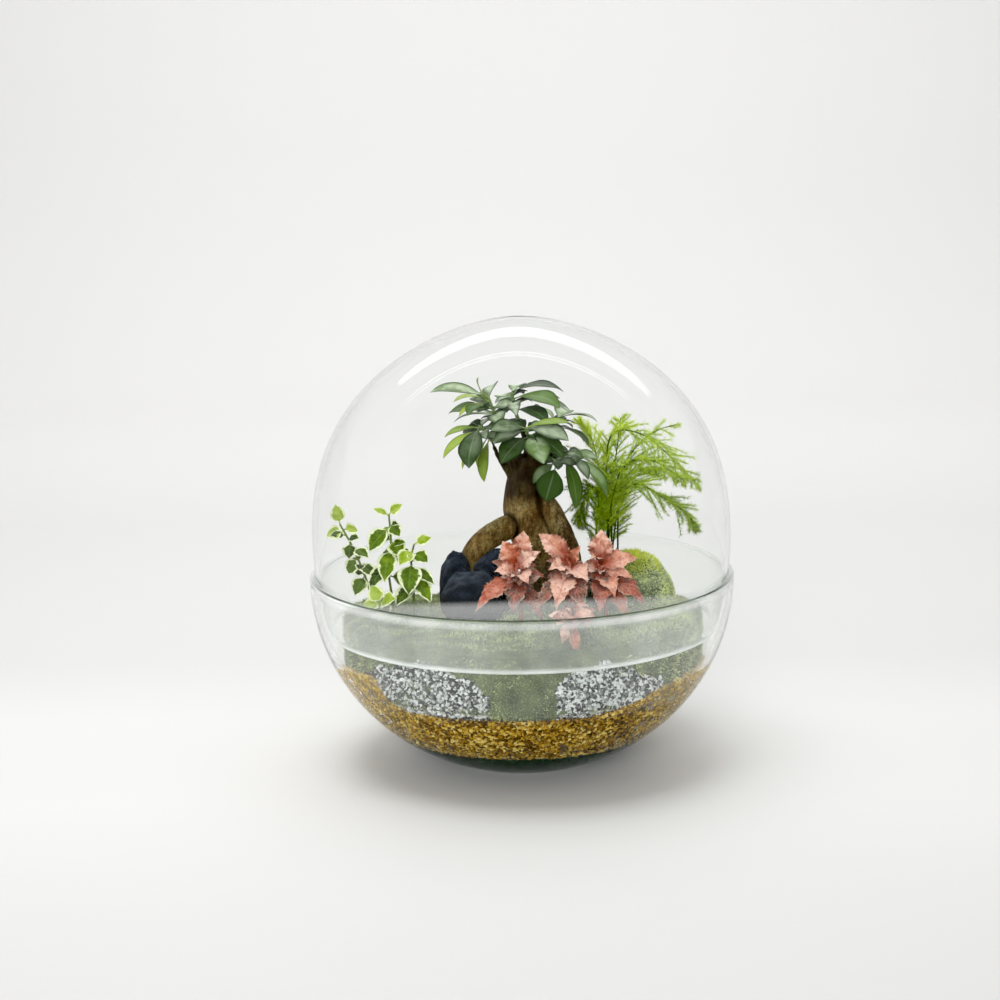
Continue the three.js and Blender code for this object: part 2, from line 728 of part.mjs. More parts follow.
function place(owner, ...bodies) {
  bodies.forEach((body) => obstacles.push({ owner, body, box: body.boundingBox() }));
}

function touches(body, box, obstacle) {
  const apart = [0, 1, 2].some((k) => box.min[k] > obstacle.box.max[k] || box.max[k] < obstacle.box.min[k]);
  return !apart && !body.intersect(obstacle.body).isEmpty();
}

// True where a body is clear of what others own. Only its outer part has to be clear of its own plant
function isFree(body, outer, owner) {
  if (!body.subtract(room).isEmpty()) return false;
  const box = body.boundingBox();
  return !obstacles.some((obstacle) => {
    if (obstacle.owner !== owner) return touches(body, box, obstacle);
    return outer !== null && touches(outer, box, obstacle);
  });
}

// The body that a function makes from a bend, at the first bend where it is free, placed for its owner
function bentClear(make, owner) {
  for (const ownClear of [true, false]) {
    for (const shorter of [1, 0.82]) {
      for (const degrees of BENDS) {
        const [turn, lift] = degrees.map(THREE.MathUtils.degToRad);
        const outer = ownClear ? make(turn, lift, shorter, 0, OUTER_SHARE) : null;
        if (isFree(make(turn, lift, shorter, 0, 0), outer, owner)) {
          place(owner, make(turn, lift, shorter, GAP, 0));
          return make(turn, lift, shorter, 0, 0);
        }
      }
    }
  }
  return null;
}

function bend(root, tip, turn, lift, shorter) {
  const reach = tip.clone().sub(root).multiplyScalar(shorter);
  const level = new THREE.Vector3().crossVectors(UP, reach).normalize();
  reach.applyAxisAngle(level, -lift).applyAxisAngle(UP, turn);
  return root.clone().add(reach);
}

// A leaf looks up and away from the middle of its plant
function facingOf(root, middle) {
  const away = root.clone().sub(middle).setZ(0);
  if (away.length() < 1) away.set(0, -1, 0);
  return away.setLength(0.7).add(UP).add(new THREE.Vector3(0, -0.35, 0));
}

function makeShoot(shoot, kind, middle) {
  const path = twigPath(shoot);
  const bodies = [limb(path, taper(path.length, STEM_RADII[kind]), TWIG_SIDES)];
  shoot.leaves.forEach(([at, x, y, z, width]) => {
    const root = alongPath(path, leafPlace(path, shoot, at));
    const facing = facingOf(new THREE.Vector3(x, y, z), middle);
    const leaf = bentClear((turn, lift, shorter, swell, from) => {
      const tip = bend(root, vec([x, y, z]), turn, lift, shorter);
      return blade(root.clone().lerp(tip, from), tip, width, facing, kind, swell);
    }, shoot.name);
    if (leaf) bodies.push(leaf);
  });
  return largest(unite(bodies));
}

// Share of the whole path, from a share of the part that stands clear of the branch or the ground
function leafPlace(path, shoot, at) {
  const whole = path.slice(1).reduce((sum, p, i) => sum + vec(p).distanceTo(vec(path[i])), 0);
  const hidden = vec(path[0]).distanceTo(vec(path[1]));
  const start = shoot.branch ? hidden / whole : Math.min(hidden / whole, 0.9);
  return start + (1 - start) * at;
}

// Asparagus fern: arching fronds of a thin stem, side twigs and needles
const FERN_FRONDS = [
  {
    name: "asparagus_frond_low_right",
    path: [[63, 29], [62, 28, 165], [77, 18, 180], [98, 10, 170], [111, 4, 161], [116, 0, 152]],
  },
  {
    name: "asparagus_frond_right",
    path: [[60, 24], [58, 28, 181], [62, 26, 213], [83, 16, 213], [104, 6, 195], [118, -1, 181]],
  },
  {
    name: "asparagus_frond_upright",
    path: [[52, 36], [54, 36, 173], [50, 40, 203], [41, 42, 221]],
  },
  {
    name: "asparagus_frond_top",
    path: [[58, 43], [62, 44, 171], [66, 48, 198], [69, 52, 220]],
  },
  {
    name: "asparagus_frond_high_right",
    path: [[66, 39], [67, 38, 172], [76, 36, 199], [91, 33, 213], [107, 29, 219]],
  },
  {
    name: "asparagus_frond_front",
    path: [[53, 28], [62, 16, 174], [71, 2, 197], [88, -6, 199], [107, -12, 187]],
  },
  {
    name: "asparagus_frond_low_front",
    path: [[46, 22], [52, 17, 166], [48, 13, 179], [41, 11, 169], [38, 10, 155]],
  },
  {
    name: "asparagus_frond_back",
    path: [[60, 47], [68, 55, 162], [81, 65, 181], [96, 72, 180]],
  },
];
const FROND_STEPS = 7;
const FROND_SIDES = 4;
const FROND_CORE = [1.1, 0.6];
const NEEDLE_LENGTH = 9;
const NEEDLE_RADIUS = 0.3;
const FERN_TWIG = [0.62, 0.45];
const FROND_TWIGS = 5;
const FROND_TWIG_LENGTH = 17;
const TWIG_NEEDLES = 3;
const TIP_NEEDLES = 3;

// A three sided spike
function needle(root, along, length, swell = 0) {
  const across = Math.abs(along.z) > 0.9 ? new THREE.Vector3(1, 0, 0) : UP.clone();
  across.addScaledVector(along, -across.dot(along)).normalize();
  const over = new THREE.Vector3().crossVectors(along, across);
  const r = NEEDLE_RADIUS + swell;
  const foot = [0, 1, 2].map((i) => {
    const angle = (i / 3) * 2 * Math.PI;
    const edge = root.clone().addScaledVector(across, r * Math.cos(angle));
    return edge.addScaledVector(over, r * Math.sin(angle));
  });
  const tip = root.clone().addScaledVector(along, length + swell);
  return solidOf(shell([...foot, tip], [0, 2, 1, 0, 1, 3, 1, 2, 3, 2, 0, 3]));
}

// The direction square to a stem that points at a clock angle about it
function spread(along, clock) {
  const level = new THREE.Vector3().crossVectors(along, UP).normalize();
  const over = new THREE.Vector3().crossVectors(level, along);
  return level.multiplyScalar(Math.cos(clock)).addScaledVector(over, Math.sin(clock));
}

// The points of a frond's stem, straight up out of its hole and then along its arch
function frondPath(frond) {
  const [x, y] = frond.path[0];
  const low = ground(x, y);
  const points = [[x, y, low + 1], [x, y, low + 4], ...frond.path.slice(1)];
  const curve = new THREE.CatmullRomCurve3(points.map(vec));
  return [[x, y, low - STEM_DEPTH], ...curve.getPoints(FROND_STEPS).map((point) => point.toArray())];
}

function frondStem(path, swell) {
  return limb(path, taper(path.length, FROND_CORE), FROND_SIDES, swell);
}

// A needle on a frond, from its foot in a direction
function addNeedle(bodies, foot, way, owner) {
  const body = bentClear((turn, lift, shorter, swell, from) => {
    const end = bend(foot, foot.clone().addScaledVector(way, NEEDLE_LENGTH), turn, lift, shorter);
    const along = end.clone().sub(foot).normalize();
    return needle(foot.clone().lerp(end, from), along, NEEDLE_LENGTH * shorter * (1 - from), swell);
  }, owner);
  if (body) bodies.push(body);
}

// A side twig with needles all round it
function addFrondTwig(bodies, root, outward, length, seed, owner) {
  const twigTip = root.clone().addScaledVector(outward, length);
  const twig = bentClear((turn, lift, shorter, swell, from) => {
    const end = bend(root, twigTip, turn, lift, shorter);
    return limb([root.clone().lerp(end, from).toArray(), end.toArray()], FERN_TWIG, 4, swell);
  }, owner);
  if (!twig) return;
  bodies.push(twig);
  for (let k = 0; k < TWIG_NEEDLES; k += 1) {
    const foot = root.clone().lerp(twigTip, 0.35 + (0.6 * k) / (TWIG_NEEDLES - 1));
    const way = spread(outward, k * 2.4 + seed).addScaledVector(outward, 0.8).normalize();
    addNeedle(bodies, foot, way, owner);
  }
}

function makeFrond(frond, seed) {
  const path = frondPath(frond);
  const bodies = [frondStem(path, 0)];
  const line = new THREE.CatmullRomCurve3(path.slice(1).map(vec));
  for (let i = 0; i < FROND_TWIGS; i += 1) {
    const u = 0.36 + (0.56 * i) / (FROND_TWIGS - 1);
    const along = line.getTangent(u);
    const clock = (i % 2 ? 0.35 : Math.PI - 0.35) + (draw(seed, i) - 0.5);
    const outward = spread(along, clock).addScaledVector(along, 0.7).normalize();
    const length = FROND_TWIG_LENGTH * (1 - (0.5 * i) / FROND_TWIGS);
    addFrondTwig(bodies, line.getPoint(u), outward, length, draw(seed, 40 + i), frond.name);
  }
  const last = line.getTangent(1);
  const foot = vec(path.at(-1)).addScaledVector(last, -1);
  for (let k = 0; k < TIP_NEEDLES; k += 1) {
    addNeedle(bodies, foot, spread(last, k * 2.1).multiplyScalar(0.5).add(last).normalize(), frond.name);
  }
  return largest(unite(bodies));
}

// Placing the plants: first the ground and the trunk, then every plant clear of what is there

const groundRaised = makeMossBody(GAP);
const trunk = makeTrunk(0);
const trunkSwelled = makeTrunk(GAP);
const stones = STONES.map((stone) => ({
  name: stone.name,
  body: makeStone(stone).subtract(trunkSwelled),
  swelled: makeStone(stone, GAP),
}));
stones.forEach((stone, i) => {
  stones.slice(0, i).forEach((earlier) => {
    stone.body = stone.body.subtract(earlier.swelled);
  });
  stone.body = largest(stone.body);
});
const mound = largest(makeMound(0).subtract(groundRaised));
place("ground", groundRaised);
place("ficus_trunk", trunkSwelled);
place("moss_mound", makeMound(GAP));
stones.forEach(({ name, swelled }) => place(name, swelled));

// The stems are placed first, and then the leaves, which keep clear of every stem
const PLANTS = [
  { shoots: FICUS_SHOOTS, kind: "ficus", color: 0x4f7a52, roughness: 0.45 },
  { shoots: FITTONIA_SHOOTS, kind: "fittonia", color: 0xe58a80, roughness: 0.6, back: 20 },
  { shoots: FIG_STEMS, kind: "fig", color: 0x7fa33c, roughness: 0.55, back: 25 },
];
const CROWN_MIDDLE = new THREE.Vector3(4, 4, 215);
const groundStems = [];

PLANTS.forEach(({ shoots, kind }) => shoots.forEach((shoot) => {
  const path = twigPath(shoot);
  const stem = limb(path, taper(path.length, STEM_RADII[kind]), TWIG_SIDES, GAP);
  place(shoot.name, stem);
  if (!shoot.branch) groundStems.push(stem);
}));
FERN_FRONDS.forEach((frond) => {
  const stem = frondStem(frondPath(frond), GAP);
  place(frond.name, stem);
  groundStems.push(stem);
});

const plants = [];
PLANTS.forEach(({ shoots, kind, color, roughness, back }) => shoots.forEach((shoot) => {
  const [x, y, z] = shoot.twig.at(-1);
  const middle = shoot.branch ? CROWN_MIDDLE : new THREE.Vector3(x, y + back, z);
  plants.push({ name: shoot.name, body: makeShoot(shoot, kind, middle), color, roughness });
}));
FERN_FRONDS.forEach((frond, i) => {
  plants.push({ name: frond.name, body: makeFrond(frond, i + 1), color: 0x6f9a2e, roughness: 0.6 });
});

// The ground with plain holes for the stems and roots, and hollows for the stones and the pumice
const rooted = unite([trunkSwelled, ...groundStems]);
const pumice = PUMICE.map((patch) => ({
  name: patch.name,
  body: makePumice(patch, 0),
  swelled: makePumice(patch, GAP),
}));
let soil = makeSoil(0).subtract(rooted);
let moss = makeMossBody(0).subtract(makeSoil(GAP)).subtract(rooted);
[...pumice, ...stones].forEach(({ swelled }) => {
  moss = moss.subtract(swelled);
  soil = soil.subtract(swelled);
});

addMesh("bowl", makeBowl(), 0xe6efec, 0.05, 0.3);
addMesh("dome", makeDome(), 0xe6efec, 0.05, 0.25);
addMesh("bottom_moss", makeBottomMoss(), 0x2f5a2a, 0.95);
addMesh("vermiculite", makeVermiculite(), 0xc08a3a, 0.85);
addMesh("soil", largest(soil), 0x3b2c20, 0.95);
pumice.forEach(({ name, body }) => addMesh(name, body, 0xb9bab2, 0.9));
addMesh("moss_carpet", largest(moss), 0x5f7a3a, 0.95);
addMesh("moss_mound", mound.subtract(rooted), 0x6c8a35, 0.95);
stones.forEach(({ name, body }) => addMesh(name, body, 0x2c3038, 0.8));
addMesh("ficus_trunk", largest(trunk), 0x8a7048, 0.75);
plants.forEach(({ name, body, color, roughness }) => addMesh(name, body, color, roughness));

export default model;
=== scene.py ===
# Glass plant terrarium: looks of the bowl, its layered ground, its plants and the dome.
# Meshes are built in millimetres. Materials, floor, lights and camera use Blender's metres.
import math
from types import SimpleNamespace

import bpy
import numpy as np
from mathutils import Matrix, Vector


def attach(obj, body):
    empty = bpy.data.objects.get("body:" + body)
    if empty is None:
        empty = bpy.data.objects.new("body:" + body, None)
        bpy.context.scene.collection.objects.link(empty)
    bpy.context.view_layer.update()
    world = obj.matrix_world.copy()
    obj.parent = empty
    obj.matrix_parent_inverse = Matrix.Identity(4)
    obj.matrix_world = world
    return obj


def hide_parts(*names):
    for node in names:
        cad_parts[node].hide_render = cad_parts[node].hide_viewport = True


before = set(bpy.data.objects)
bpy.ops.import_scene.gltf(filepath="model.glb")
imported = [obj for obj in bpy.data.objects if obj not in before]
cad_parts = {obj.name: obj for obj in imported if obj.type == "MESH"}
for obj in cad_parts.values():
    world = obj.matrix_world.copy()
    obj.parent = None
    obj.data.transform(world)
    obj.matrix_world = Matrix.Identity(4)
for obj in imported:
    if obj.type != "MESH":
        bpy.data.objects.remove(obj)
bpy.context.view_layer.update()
MM = 0.001

# Sizes shared with the solids
RIM_RADIUS, RIM_HEIGHT, RIM_INNER_RADIUS = 140, 127, 136.5
BOWL_DEPTH, BOWL_INNER_DEPTH, BOWL_POWER = 133, 126, 2.05
FLOOR_HEIGHT, NECK_BOTTOM, NECK_RADIUS = 9, 91, 129
DOME_RADIUS, DOME_WIDEST, DOME_TOP, DOME_WALL = 137.6, 147, 295, 3.2
BOTTOM_MOSS_TOP, VERMICULITE_TOP, WALL_CONTACT_TOP = 23, 57, 63
GROUND_MIDDLE, GROUND_EDGE, GROUND_BACK_DROP, GROUND_RADIUS = 105, 102, 22, 119.5
PUMICE_RADIUS = 120.5
STEM_DEPTH = 7
# Points round the glass, round the moss and across a leaf
SIDES, MOSS_SIDES, LEAF_COLUMNS = 160, 200, 9
MOSS_RADIUS = 118.8
# Lower than that of glass, which keeps what is behind the walls clear
BOWL_IOR, DOME_IOR = 1.14, 1.2

rng = np.random.default_rng(11)


# Meshes

def new_object(name, data):
    thing = bpy.data.objects.new(name, data)
    bpy.context.scene.collection.objects.link(thing)
    return thing


class Mass:
    """Points and faces of one piece, with a tone for each part of it and places along and across it."""

    def __init__(self):
        self.points, self.faces, self.shares = [], [], []
        self.count = 0

    def add(self, points, faces, tone=0.5, along=0.0, across=0.0):
        points = np.asarray(points, float).reshape(-1, 3)
        self.points.append(points)
        for corners in faces if isinstance(faces, list) else [faces]:
            self.faces.append(np.asarray(corners, int) + self.count)
        shares = [np.asarray(value, float).ravel() for value in (tone, along, across)]
        self.shares.append(np.stack([np.broadcast_to(share, len(points)) for share in shares], 1))
        self.count += len(points)

    def make(self, name, material, replaced, smooth=True):
        mesh = bpy.data.meshes.new(name)
        points = np.concatenate(self.points) * MM
        mesh.vertices.add(len(points))
        mesh.vertices.foreach_set("co", points.ravel())
        corners = np.concatenate([f.ravel() for f in self.faces])
        sizes = np.concatenate([np.full(len(f), f.shape[1]) for f in self.faces])
        starts = np.concatenate([[0], np.cumsum(sizes)[:-1]])
        mesh.loops.add(len(corners))
        mesh.loops.foreach_set("vertex_index", corners)
        mesh.polygons.add(len(sizes))
        mesh.polygons.foreach_set("loop_start", starts)
        mesh.update(calc_edges=True)
        mesh.validate()
        mesh.polygons.foreach_set("use_smooth", np.full(len(mesh.polygons), smooth))
        shares = np.concatenate(self.shares)
        for column, label in enumerate(("tone", "along", "across")):
            layer = mesh.attributes.new(label, "FLOAT", "POINT")
            layer.data.foreach_set("value", shares[:, column].copy())
        mesh.materials.append(material)
        piece = new_object(name, mesh)
        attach(piece, "root")
        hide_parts(*replaced)


def turn(number):
    """Angles spread all round."""
    return np.arange(number) / number * 2 * math.pi


def polar(r, angle, z):
    """Points at radii, angles and heights."""
    return np.stack(np.broadcast_arrays(r * np.cos(angle), r * np.sin(angle), z), -1)


def grid_faces(rows, columns, wrap=False):
    """Quads of a grid of points, rows by columns, whose columns may close into a ring."""
    row = np.arange(rows - 1)[:, None]
    column = np.arange(columns if wrap else columns - 1)[None, :]
    after = (column + 1) % columns
    quads = np.stack([row * columns + column, row * columns + after,
                      (row + 1) * columns + after, (row + 1) * columns + column], -1)
    return quads.reshape(-1, 4)


def fan(first, sides, hub, turned=False):
    """Triangles from the edges of a ring of points to a hub."""
    ring = np.arange(sides)
    edge = [first + ring, first + (ring + 1) % sides]
    return np.stack((edge[::-1] if turned else edge) + [np.full(sides, hub)], 1)


def capped(mass, rings, hubs=None, tone=0.5, along=0.0, turned=False):
    """A skin over rings of points, closed at each end by a fan. Returns the points and quads of its side."""
    rings = np.asarray(rings)
    rows, sides = rings.shape[:2]
    count = rows * sides
    quads = grid_faces(rows, sides, True)
    if turned:
        quads = quads[:, ::-1]
    if hubs is None:
        hubs = rings[0].mean(0), rings[-1].mean(0)
    fans = [fan(0, sides, count, not turned), fan(count - sides, sides, count + 1, turned)]
    points = rings.reshape(-1, 3)
    mass.add(np.vstack([points, *hubs]), [quads] + fans, tone, along)
    return points, quads


def lathe(mass, profile, tone=0.5):
    """Turns a profile about Z. Its first and last points lie on the axis."""
    body = np.array(profile[1:-1], float)
    hubs = [(0, 0, profile[0][1]), (0, 0, profile[-1][1])]
    capped(mass, polar(body[:, :1], turn(SIDES), body[:, 1:]), hubs, tone)


def smooth_path(path, steps):
    """Points on a rounded line through a path's points."""
    path = np.asarray(path, float)
    padded = np.vstack([2 * path[0] - path[1], path, 2 * path[-1] - path[-2]])
    out = []
    for i in range(len(path) - 1):
        p0, p1, p2, p3 = padded[i:i + 4]
        for t in np.linspace(0, 1, steps, endpoint=False):
            out.append(0.5 * (2 * p1 + (p2 - p0) * t + (2 * p0 - 5 * p1 + 4 * p2 - p3) * t ** 2
                              + (3 * p1 - p0 - 3 * p2 + p3) * t ** 3))
    out.append(path[-1])
    return np.array(out)


def unit(vectors):
    vectors = np.asarray(vectors, float)
    return vectors / np.maximum(np.linalg.norm(vectors, axis=-1, keepdims=True), 1e-9)


def tube(mass, points, radii, sides, tone=0.5):
    """A closed tube along points."""
    points = np.asarray(points, float)
    share = np.linspace(0, 1, len(points))
    radii = np.interp(share, np.linspace(0, 1, len(radii)), radii)
    along = unit(np.gradient(points, axis=0))
    across = np.array([1.0, 0, 0]) if abs(along[0][2]) > 0.9 else np.array([0, 0, 1.0])
    angles = turn(sides)[:, None]
    rings = []
    for middle, radius, way in zip(points, radii, along):
        across = unit(across - way * across.dot(way))
        rings.append(middle + radius * (np.cos(angles) * across + np.sin(angles) * np.cross(way, across)))
    capped(mass, rings, (points[0], points[-1]), tone, np.concatenate([np.repeat(share, sides), [0, 1]]))


def sway(points, scale, seed=0.0):
    """A soft repeatable noise between about -1 and 1."""
    x, y, z = np.moveaxis(np.asarray(points, float) / scale, -1, 0)
    a = np.sin(x + 1.7 * np.sin(0.9 * y + seed) + seed) * np.cos(0.8 * z - 1.1 * y + 2 * seed)
    b = np.sin(1.9 * z + 1.3 * np.sin(1.2 * x - seed)) * np.cos(1.7 * y + 0.6 * x + seed)
    return 0.6 * a + 0.4 * b


def rough(points, scale, seed=0.0):
    """The same noise in three sizes."""
    return (sway(points, scale, seed) + 0.5 * sway(points, scale * 0.47, seed + 3)
            + 0.25 * sway(points, scale * 0.21, seed + 5))


def scatter(points, quads, number, keep=None):
    """Random places on faces, spread by area, with the outward direction there."""
    tris = np.concatenate([quads[:, [0, 1, 2]], quads[:, [0, 2, 3]]])
    a, b, c = points[tris[:, 0]], points[tris[:, 1]], points[tris[:, 2]]
    normal = np.cross(b - a, c - a)
    area = np.linalg.norm(normal, axis=1)
    if keep is not None:
        area = area * keep((a + b + c) / 3)
    chosen = rng.choice(len(tris), number, p=area / area.sum())
    s, t = rng.random((2, number, 1))
    s, t = np.where(s + t > 1, 1 - s, s), np.where(s + t > 1, 1 - t, t)
    place = a[chosen] + s * (b - a)[chosen] + t * (c - a)[chosen]
    return place, unit(normal[chosen])


def any_across(directions):
    """A direction square to each one given, at a random clock angle."""
    return unit(np.cross(directions, rng.normal(size=directions.shape)))


def tufts(mass, place, out, tones, length, width, lean):
    """Diamond shaped leaflets that stand on a surface."""
    number = len(place)
    way = unit(out + lean * rng.normal(size=(number, 3)))
    side = any_across(way) * (width * rng.uniform(0.7, 1.3, (number, 1)) / 2)
    reach = way * (length * rng.uniform(0.5, 1.2, (number, 1)))
    root = place - out * 0.4
    points = np.stack([root, root + 0.45 * reach + side, root + reach, root + 0.45 * reach - side], 1)
    base = np.arange(number)[:, None] * 4
    share = np.tile([0, 0.5, 1, 0.5], number)
    mass.add(points, [base + [0, 1, 2], base + [0, 2, 3]], np.repeat(tones, 4), share)


FLAKE = np.array([[1, 0, 0], [0, 1, 0], [-1, 0, 0], [0, -1, 0], [0, 0, 1], [0, 0, -1]], float)
FLAKE_FACES = np.array([[0, 1, 4], [1, 2, 4], [2, 3, 4], [3, 0, 4],
                        [1, 0, 5], [2, 1, 5], [3, 2, 5], [0, 3, 5]])


def grains(mass, place, out, tones, size, flat, tilt):
    """Small angular grains lying on a surface."""
    number = len(place)
    up = unit(out + tilt * rng.normal(size=(number, 3)))
    a = any_across(up)
    b = np.cross(up, a)
    size = size * rng.uniform(0.6, 1.35, (number, 1)) / 2
    shape = FLAKE[None] * rng.uniform(0.7, 1.3, (number, 6, 1))
    points = (place[:, None] + shape[..., :1] * (a * size)[:, None]
              + shape[..., 1:2] * (b * size * rng.uniform(0.6, 1, (number, 1)))[:, None]
              + shape[..., 2:] * (up * size * flat)[:, None])
    base = np.arange(number)[:, None, None] * 6
    mass.add(points, (base + FLAKE_FACES[None]).reshape(-1, 3), np.repeat(tones, 6))


# Materials

def rgba(color):
    """A plain colour with its alpha. A socket stays as it is."""
    return (*color, 1) if isinstance(color, tuple) else color


class Nodes:
    """Short calls for the nodes of a tree."""

    def __init__(self, tree, place):
        self.tree = tree
        self.place = self.node("TexCoord").outputs[place]

    def feed(self, socket, value):
        if isinstance(value, bpy.types.NodeSocket):
            self.tree.links.new(value, socket)
        else:
            socket.default_value = value

    def node(self, kind, inputs=(), **settings):
        node = self.tree.nodes.new("ShaderNode" + kind)
        for label, value in settings.items():
            setattr(node, label, value)
        for label, value in dict(inputs).items():
            self.feed(node.inputs[label], value)
        return node

    def axis(self, label, vector=None):
        """One coordinate of the place in metres, or of another vector."""
        return self.node("SeparateXYZ", {0: vector or self.place}).outputs[label]

    def span(self, factor, low, high, to_low=0, to_high=1):
        """A factor's way from low to high, as a value from to_low to to_high."""
        inputs = {"Value": factor, "From Min": low, "From Max": high, "To Min": to_low, "To Max": to_high}
        return self.node("MapRange", inputs, clamp=True).outputs["Result"]

    def ramp(self, factor, *stops):
        """A colour by stops, each a position, red, green and blue."""
        node = self.node("ValToRGB", {"Fac": factor})
        elements = node.color_ramp.elements
        while len(elements) < len(stops):
            elements.new(0.5)
        for element, (position, *color) in zip(elements, stops):
            element.position = position
            element.color = (*color, 1)
        return node.outputs["Color"]

    def mix(self, factor, a, b):
        inputs = {"Factor": factor, 6: rgba(a), 7: rgba(b)}
        return self.node("Mix", inputs, data_type="RGBA").outputs[2]


class Shader(Nodes):
    """A material on the Principled shader. Sizes of noise and cells are in mm."""

    def __init__(self, name, **values):
        self.material = bpy.data.materials.new(name)
        self.material.use_nodes = True
        super().__init__(self.material.node_tree, "Object")
        self.skin = self.tree.nodes["Principled BSDF"]
        for label, value in values.items():
            self.part(label.replace("_", " "), value)

    def part(self, label, value):
        self.feed(self.skin.inputs[label], value)

    def color(self, factor, *stops):
        """The base colour, by stops along a factor."""
        self.base = self.ramp(factor, *stops)
        self.part("Base Color", self.base)

    def stain(self, factor, color):
        """Another colour over the base colour so far, as far as the factor says."""
        self.base = self.mix(factor, self.base, color)
        self.part("Base Color", self.base)

    def share(self, name):
        return self.node("Attribute", attribute_name=name).outputs["Fac"]

    def noise(self, size, detail=3, roughness=0.55, stretch=None):
        vector = self.place
        if stretch:
            vector = self.node("Mapping", {"Scale": stretch, "Vector": vector}).outputs["Vector"]
        inputs = {"Scale": 1000 / size, "Detail": detail, "Roughness": roughness, "Vector": vector}
        return self.node("TexNoise", inputs).outputs["Fac"]

    def spots(self, size, detail, low, high, to_low=0, to_high=1):
        """Noise, spread like a span."""
        return self.span(self.noise(size, detail), low, high, to_low, to_high)

    def cells(self, size, feature="F1"):
        inputs = {"Scale": 1000 / size, "Vector": self.place}
        return self.node("TexVoronoi", inputs, feature=feature).outputs["Distance"]

    def maths(self, operation, a, b=0.0, clamp=False):
        return self.node("Math", {0: a, 1: b}, operation=operation, use_clamp=clamp).outputs[0]

    def times(self, product, *factors):
        for factor in factors:
            product = self.maths("MULTIPLY", product, factor)
        return product

    def plus(self, total, *parts):
        for part in parts:
            total = self.maths("ADD", total, part)
        return total

    def minus(self, a, b):
        return self.maths("SUBTRACT", a, b)

    def tone(self, size, detail, reach):
        """The tone of a part, lighter and darker by some noise."""
        return self.plus(self.share("tone"), self.spots(size, detail, 0.3, 0.7, -reach, reach))

    def upward(self, low, high, share):
        """How far a surface faces up, from 0 to share."""
        return self.span(self.axis("Z", self.node("NewGeometry").outputs["Normal"]), low, high, 0, share)

    def bump(self, height, strength, depth):
        inputs = {"Strength": strength, "Distance": depth * MM, "Height": height}
        self.part("Normal", self.node("Bump", inputs).outputs["Normal"])


def glass_material(name, ior, tint, film_and_highlights, veil=0.0, lip=False):
    """Clear glass that lets light through to what it covers.

    tint and the second list are stops along the height in mm, for the colour and for a thin misty layer; the
    white bands in that list are painted highlights. veil is the strength of the pale band above the rim, a
    painted reflection, and lip paints a dark reflection along the front of the rounded top edge and painted
    light on its left and right ends.
    """
    s = Shader(name, IOR=ior)
    reach = 300
    x, y, z = (s.axis(label) for label in "XYZ")
    share = s.span(z, 0, reach * MM)
    front = s.span(y, -0.07, -0.01, 1, 0)
    s.color(share, *[(height / reach, *color) for height, *color in tint])
    streaks = s.span(s.noise(26, 4, 0.6, (1, 1, 0.35)), 0.3, 0.75, 0.65, 1.35)
    film_and_highlights = s.ramp(share, *[(height / reach, mist_and_painted_light, mist_and_painted_light, mist_and_painted_light) for height, mist_and_painted_light in film_and_highlights])
    # The misty layer is strongest towards the left and right sides, a painted reflection of the curved glass,
    # and fades towards the back.
    off_middle = s.maths("ABSOLUTE", s.minus(x, 0.01))
    sides = s.times(s.span(off_middle, 0.03, 0.09, 1, 1.5), s.span(x, 0.03, 0.09, 1, 1.3))
    mist_and_painted_light = s.times(film_and_highlights, streaks, s.times(sides, s.span(y, -0.03, 0.05, 1, 0.15)))
    if lip:
        # Painted dark reflection: a dark line along the front of the lip, where the dark moss shows through
        # it.
        s.stain(s.times(s.span(z, 0.1262, 0.1265), front), (0.1, 0.13, 0.1))
        # Painted light: the left and right ends of the lip are whitened.
        ends = s.times(s.span(off_middle, 0.1, 0.12), s.span(z, 0.124, 0.1255))
        mist_and_painted_light = s.maths("MAXIMUM", mist_and_painted_light, s.times(ends, 0.6))
    # Painted reflection: a pale band on the front of the glass just above the rim.
    if veil:
        bulge = s.times(s.maths("POWER", off_middle, 2), 0.9)
        band = s.span(s.plus(z, bulge), 0.1355, 0.1395, veil, 0)
        mist_and_painted_light = s.plus(mist_and_painted_light, s.times(band, s.span(z, 0.1262, 0.1278), front))
    s.part("Transmission Weight", s.maths("SUBTRACT", 1, mist_and_painted_light, True))
    s.part("Roughness", s.spots(40, 3, 0.3, 0.8, 0, 0.03))
    shadow = s.node("LightPath").outputs["Is Shadow Ray"]
    open_way = s.node("BsdfTransparent", {"Color": (0.93, 0.95, 0.94, 1)}).outputs["BSDF"]
    mixer = s.node("MixShader", {"Fac": shadow, 1: s.skin.outputs["BSDF"], 2: open_way})
    s.feed(s.tree.nodes["Material Output"].inputs["Surface"], mixer.outputs[0])
    return s.material


def vermiculite_material():
    s = Shader("vermiculite_flakes", Specular_IOR_Level=0.2)
    s.color(s.share("tone"), (0, 0.015, 0.005, 0.002), (0.25, 0.1, 0.036, 0.004), (0.5, 0.38, 0.19, 0.012),
            (0.78, 0.64, 0.42, 0.045), (1, 0.9, 0.74, 0.26))
    s.stain(s.spots(1.1, 2, 0.35, 0.7, 0, 0.25), (0.6, 0.38, 0.04))
    # Painted light: the flakes are lighter towards the left and right of the bowl.
    s.stain(s.span(s.maths("ABSOLUTE", s.axis("X")), 0.06, 0.11, 0, 0.45), (0.82, 0.62, 0.2))
    s.part("Roughness", s.spots(0.8, 2, 0.3, 0.7, 0.28, 0.6))
    s.bump(s.noise(0.5), 0.5, 0.25)
    return s.material


